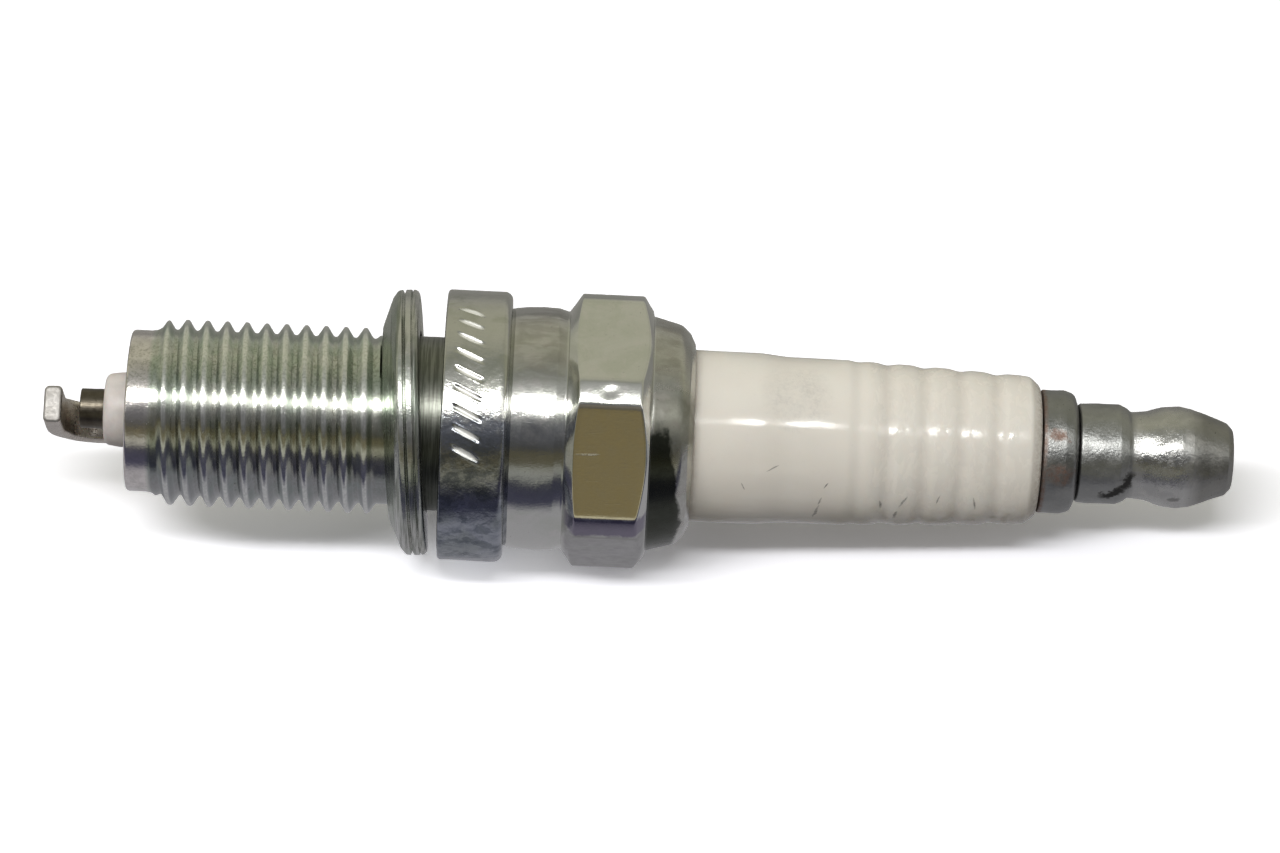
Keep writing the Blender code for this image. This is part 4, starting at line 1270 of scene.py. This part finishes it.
def make_floor():
    me = bpy.data.meshes.new("floor")
    h = FLOOR_HALF
    me.from_pydata([(-h, -h, 0), (h, -h, 0), (h, h, 0), (-h, h, 0)], [], [(0, 1, 2, 3)])
    floor = bpy.data.objects.new("floor", me)
    floor.location = ((SEAT + ARC_STATION + ARC_RADIUS * math.sin(REST_TILT)) * MM, 0,
                      -(ARC_HEIGHT + ARC_RADIUS * math.cos(REST_TILT)) * MM - FLOOR_GAP)
    floor.rotation_euler = (0, -REST_TILT, 0)
    bpy.context.collection.objects.link(floor)
    me.materials.append(make_floor_paper())


make_floor()

# ------------------------------------------------------------------ room and light
# brightness round the axis: elevation in degrees (-Y 0, up 90, +Y 180), colour
ROOM = [
    (-180, (0.40, 0.39, 0.36)), (-90, (0.30, 0.30, 0.30)), (-16, (0.12, 0.12, 0.125)),
    (-4, (0.20, 0.20, 0.18)), (-1, (0.42, 0.42, 0.37)), (3, (0.42, 0.42, 0.35)),
    (8, (0.16, 0.15, 0.105)), (12, (0.144, 0.128, 0.0785)), (19, (0.144, 0.128, 0.0785)),
    (22, (0.085, 0.085, 0.08)), (34, (0.13, 0.13, 0.135)), (45, (0.145, 0.145, 0.155)),
    (54, (0.25, 0.25, 0.25)), (61, (0.55, 0.55, 0.53)), (76, (0.58, 0.58, 0.55)),
    (82, (0.44, 0.44, 0.42)), (98, (0.33, 0.335, 0.30)), (112, (0.42, 0.415, 0.34)),
    (136, (0.50, 0.49, 0.385)), (165, (0.47, 0.46, 0.38)), (180, (0.44, 0.43, 0.39))]


def make_world():
    world = bpy.data.worlds.new("studio")
    bpy.context.scene.world = world
    world.use_nodes = True
    g = Graph(world.node_tree)
    g.tree.nodes.clear()
    direction = g.new("TexCoord").outputs["Generated"]
    path = g.new("LightPath").outputs
    x, y, z = g.separate(direction)
    elevation = g.math("ARCTAN2", z, g.mul(y, -1))
    colour = g.ramp(g.remap(elevation, over=(-math.pi, math.pi)),
                    [((degrees + 180) / 360, shade) for degrees, shade in ROOM])
    # slow change along the room's length, so that reflections aren't ruled lines
    vary = g.remap(g.noise(direction, scale=3.2, detail=3, rough=0.5),
                   over=(0.35, 0.65), to=(0.86, 1.14))
    # dull surfaces are lit more strongly from -X, so that shadows lie towards +X
    side = g.remap(x, over=(-0.9, 0.9), to=(1.30, 0.30))
    balance = g.remap(path["Is Diffuse Ray"], over=(0, 1), to=(1.0, side))
    # the long lamp as polished metal shows it: a bright strip right along the room
    distance = g.new("Math", operation="ABSOLUTE")
    g.link(g.sub(elevation, math.radians(67.5)), distance.inputs[0])
    strip = g.remap(distance.outputs[0], over=(math.radians(8.0), math.radians(4.5)), to=(1.0, 4.5))
    gate = g.new("Mix", data_type="FLOAT")
    for index, value in ((0, path["Is Diffuse Ray"]), (2, strip), (3, 1.0)):
        g.put(gate.inputs[index], value)
    level = g.mul(vary, gate.outputs[0], balance)
    room = g.shader("Background", colour, strength=level)
    white = g.shader("Background", colour=(1, 1, 1), strength=1.05)
    g.link(g.mix_shader(path["Is Camera Ray"], room, white), g.new("OutputWorld").inputs[0])


make_world()


def level_axes(back):
    """Right and up for something that looks against back, with right kept as near X as can be."""
    right = Vector((1, 0, 0))
    right = (right - back * right.dot(back)).normalized()
    return right, back.cross(right)


def aim(thing, right, up, back):
    thing.rotation_euler = Matrix((right, up, back)).transposed().to_euler()
    bpy.context.collection.objects.link(thing)


def make_key_light():
    """A long soft box, high on the camera's side and shifted towards -X; metres and watts."""
    elevation, distance, x = math.radians(66), 0.60, -0.17
    light = bpy.data.lights.new("key", "AREA")
    light.shape = "RECTANGLE"
    light.size = 0.62
    light.size_y = 0.075
    light.energy = 2.25
    light.color = (1.0, 0.995, 0.985)
    key = bpy.data.objects.new("key", light)
    place_at = Vector((0, -math.cos(elevation), math.sin(elevation))) * distance
    place_at.x = x
    key.location = place_at
    back = place_at.normalized()
    aim(key, *level_axes(back), back)
    key.visible_camera = False


make_key_light()

# ------------------------------------------------------------------ camera
VIEW_DISTANCE, VIEW_WIDTH = 350, 81.05     # mm; the width is what the frame spans there
VIEW_FOOT = -5.0                           # mm along X: the camera stands square above it
AIM_X, AIM_UP = 0.07, 0.41                 # mm: the point looked at, from the origin
CAMERA_ROLL = math.radians(2.58)
SENSOR_WIDTH = 36.0


def make_camera():
    elevation = math.radians(VIEW_ELEVATION)
    towards = Vector((0, -math.cos(elevation), math.sin(elevation)))
    upwards = Vector((0, math.sin(elevation), math.cos(elevation)))
    eye = Vector((VIEW_FOOT * MM, 0, 0)) + towards * (VIEW_DISTANCE * MM)
    target = Vector((AIM_X * MM, 0, 0)) + upwards * (AIM_UP * MM)
    data = bpy.data.cameras.new("camera")
    data.sensor_width = SENSOR_WIDTH
    data.lens = SENSOR_WIDTH * VIEW_DISTANCE / VIEW_WIDTH
    data.clip_start = 0.01
    data.clip_end = 50
    camera = bpy.data.objects.new("camera", data)
    camera.location = eye
    back = (eye - target).normalized()
    right, up = level_axes(back)
    rolled = right * math.cos(CAMERA_ROLL) + up * math.sin(CAMERA_ROLL)
    aim(camera, rolled, back.cross(rolled), back)
    bpy.context.scene.camera = camera


make_camera()
bpy.context.scene.view_settings.view_transform = "Standard"
bpy.context.scene.view_settings.look = "None"
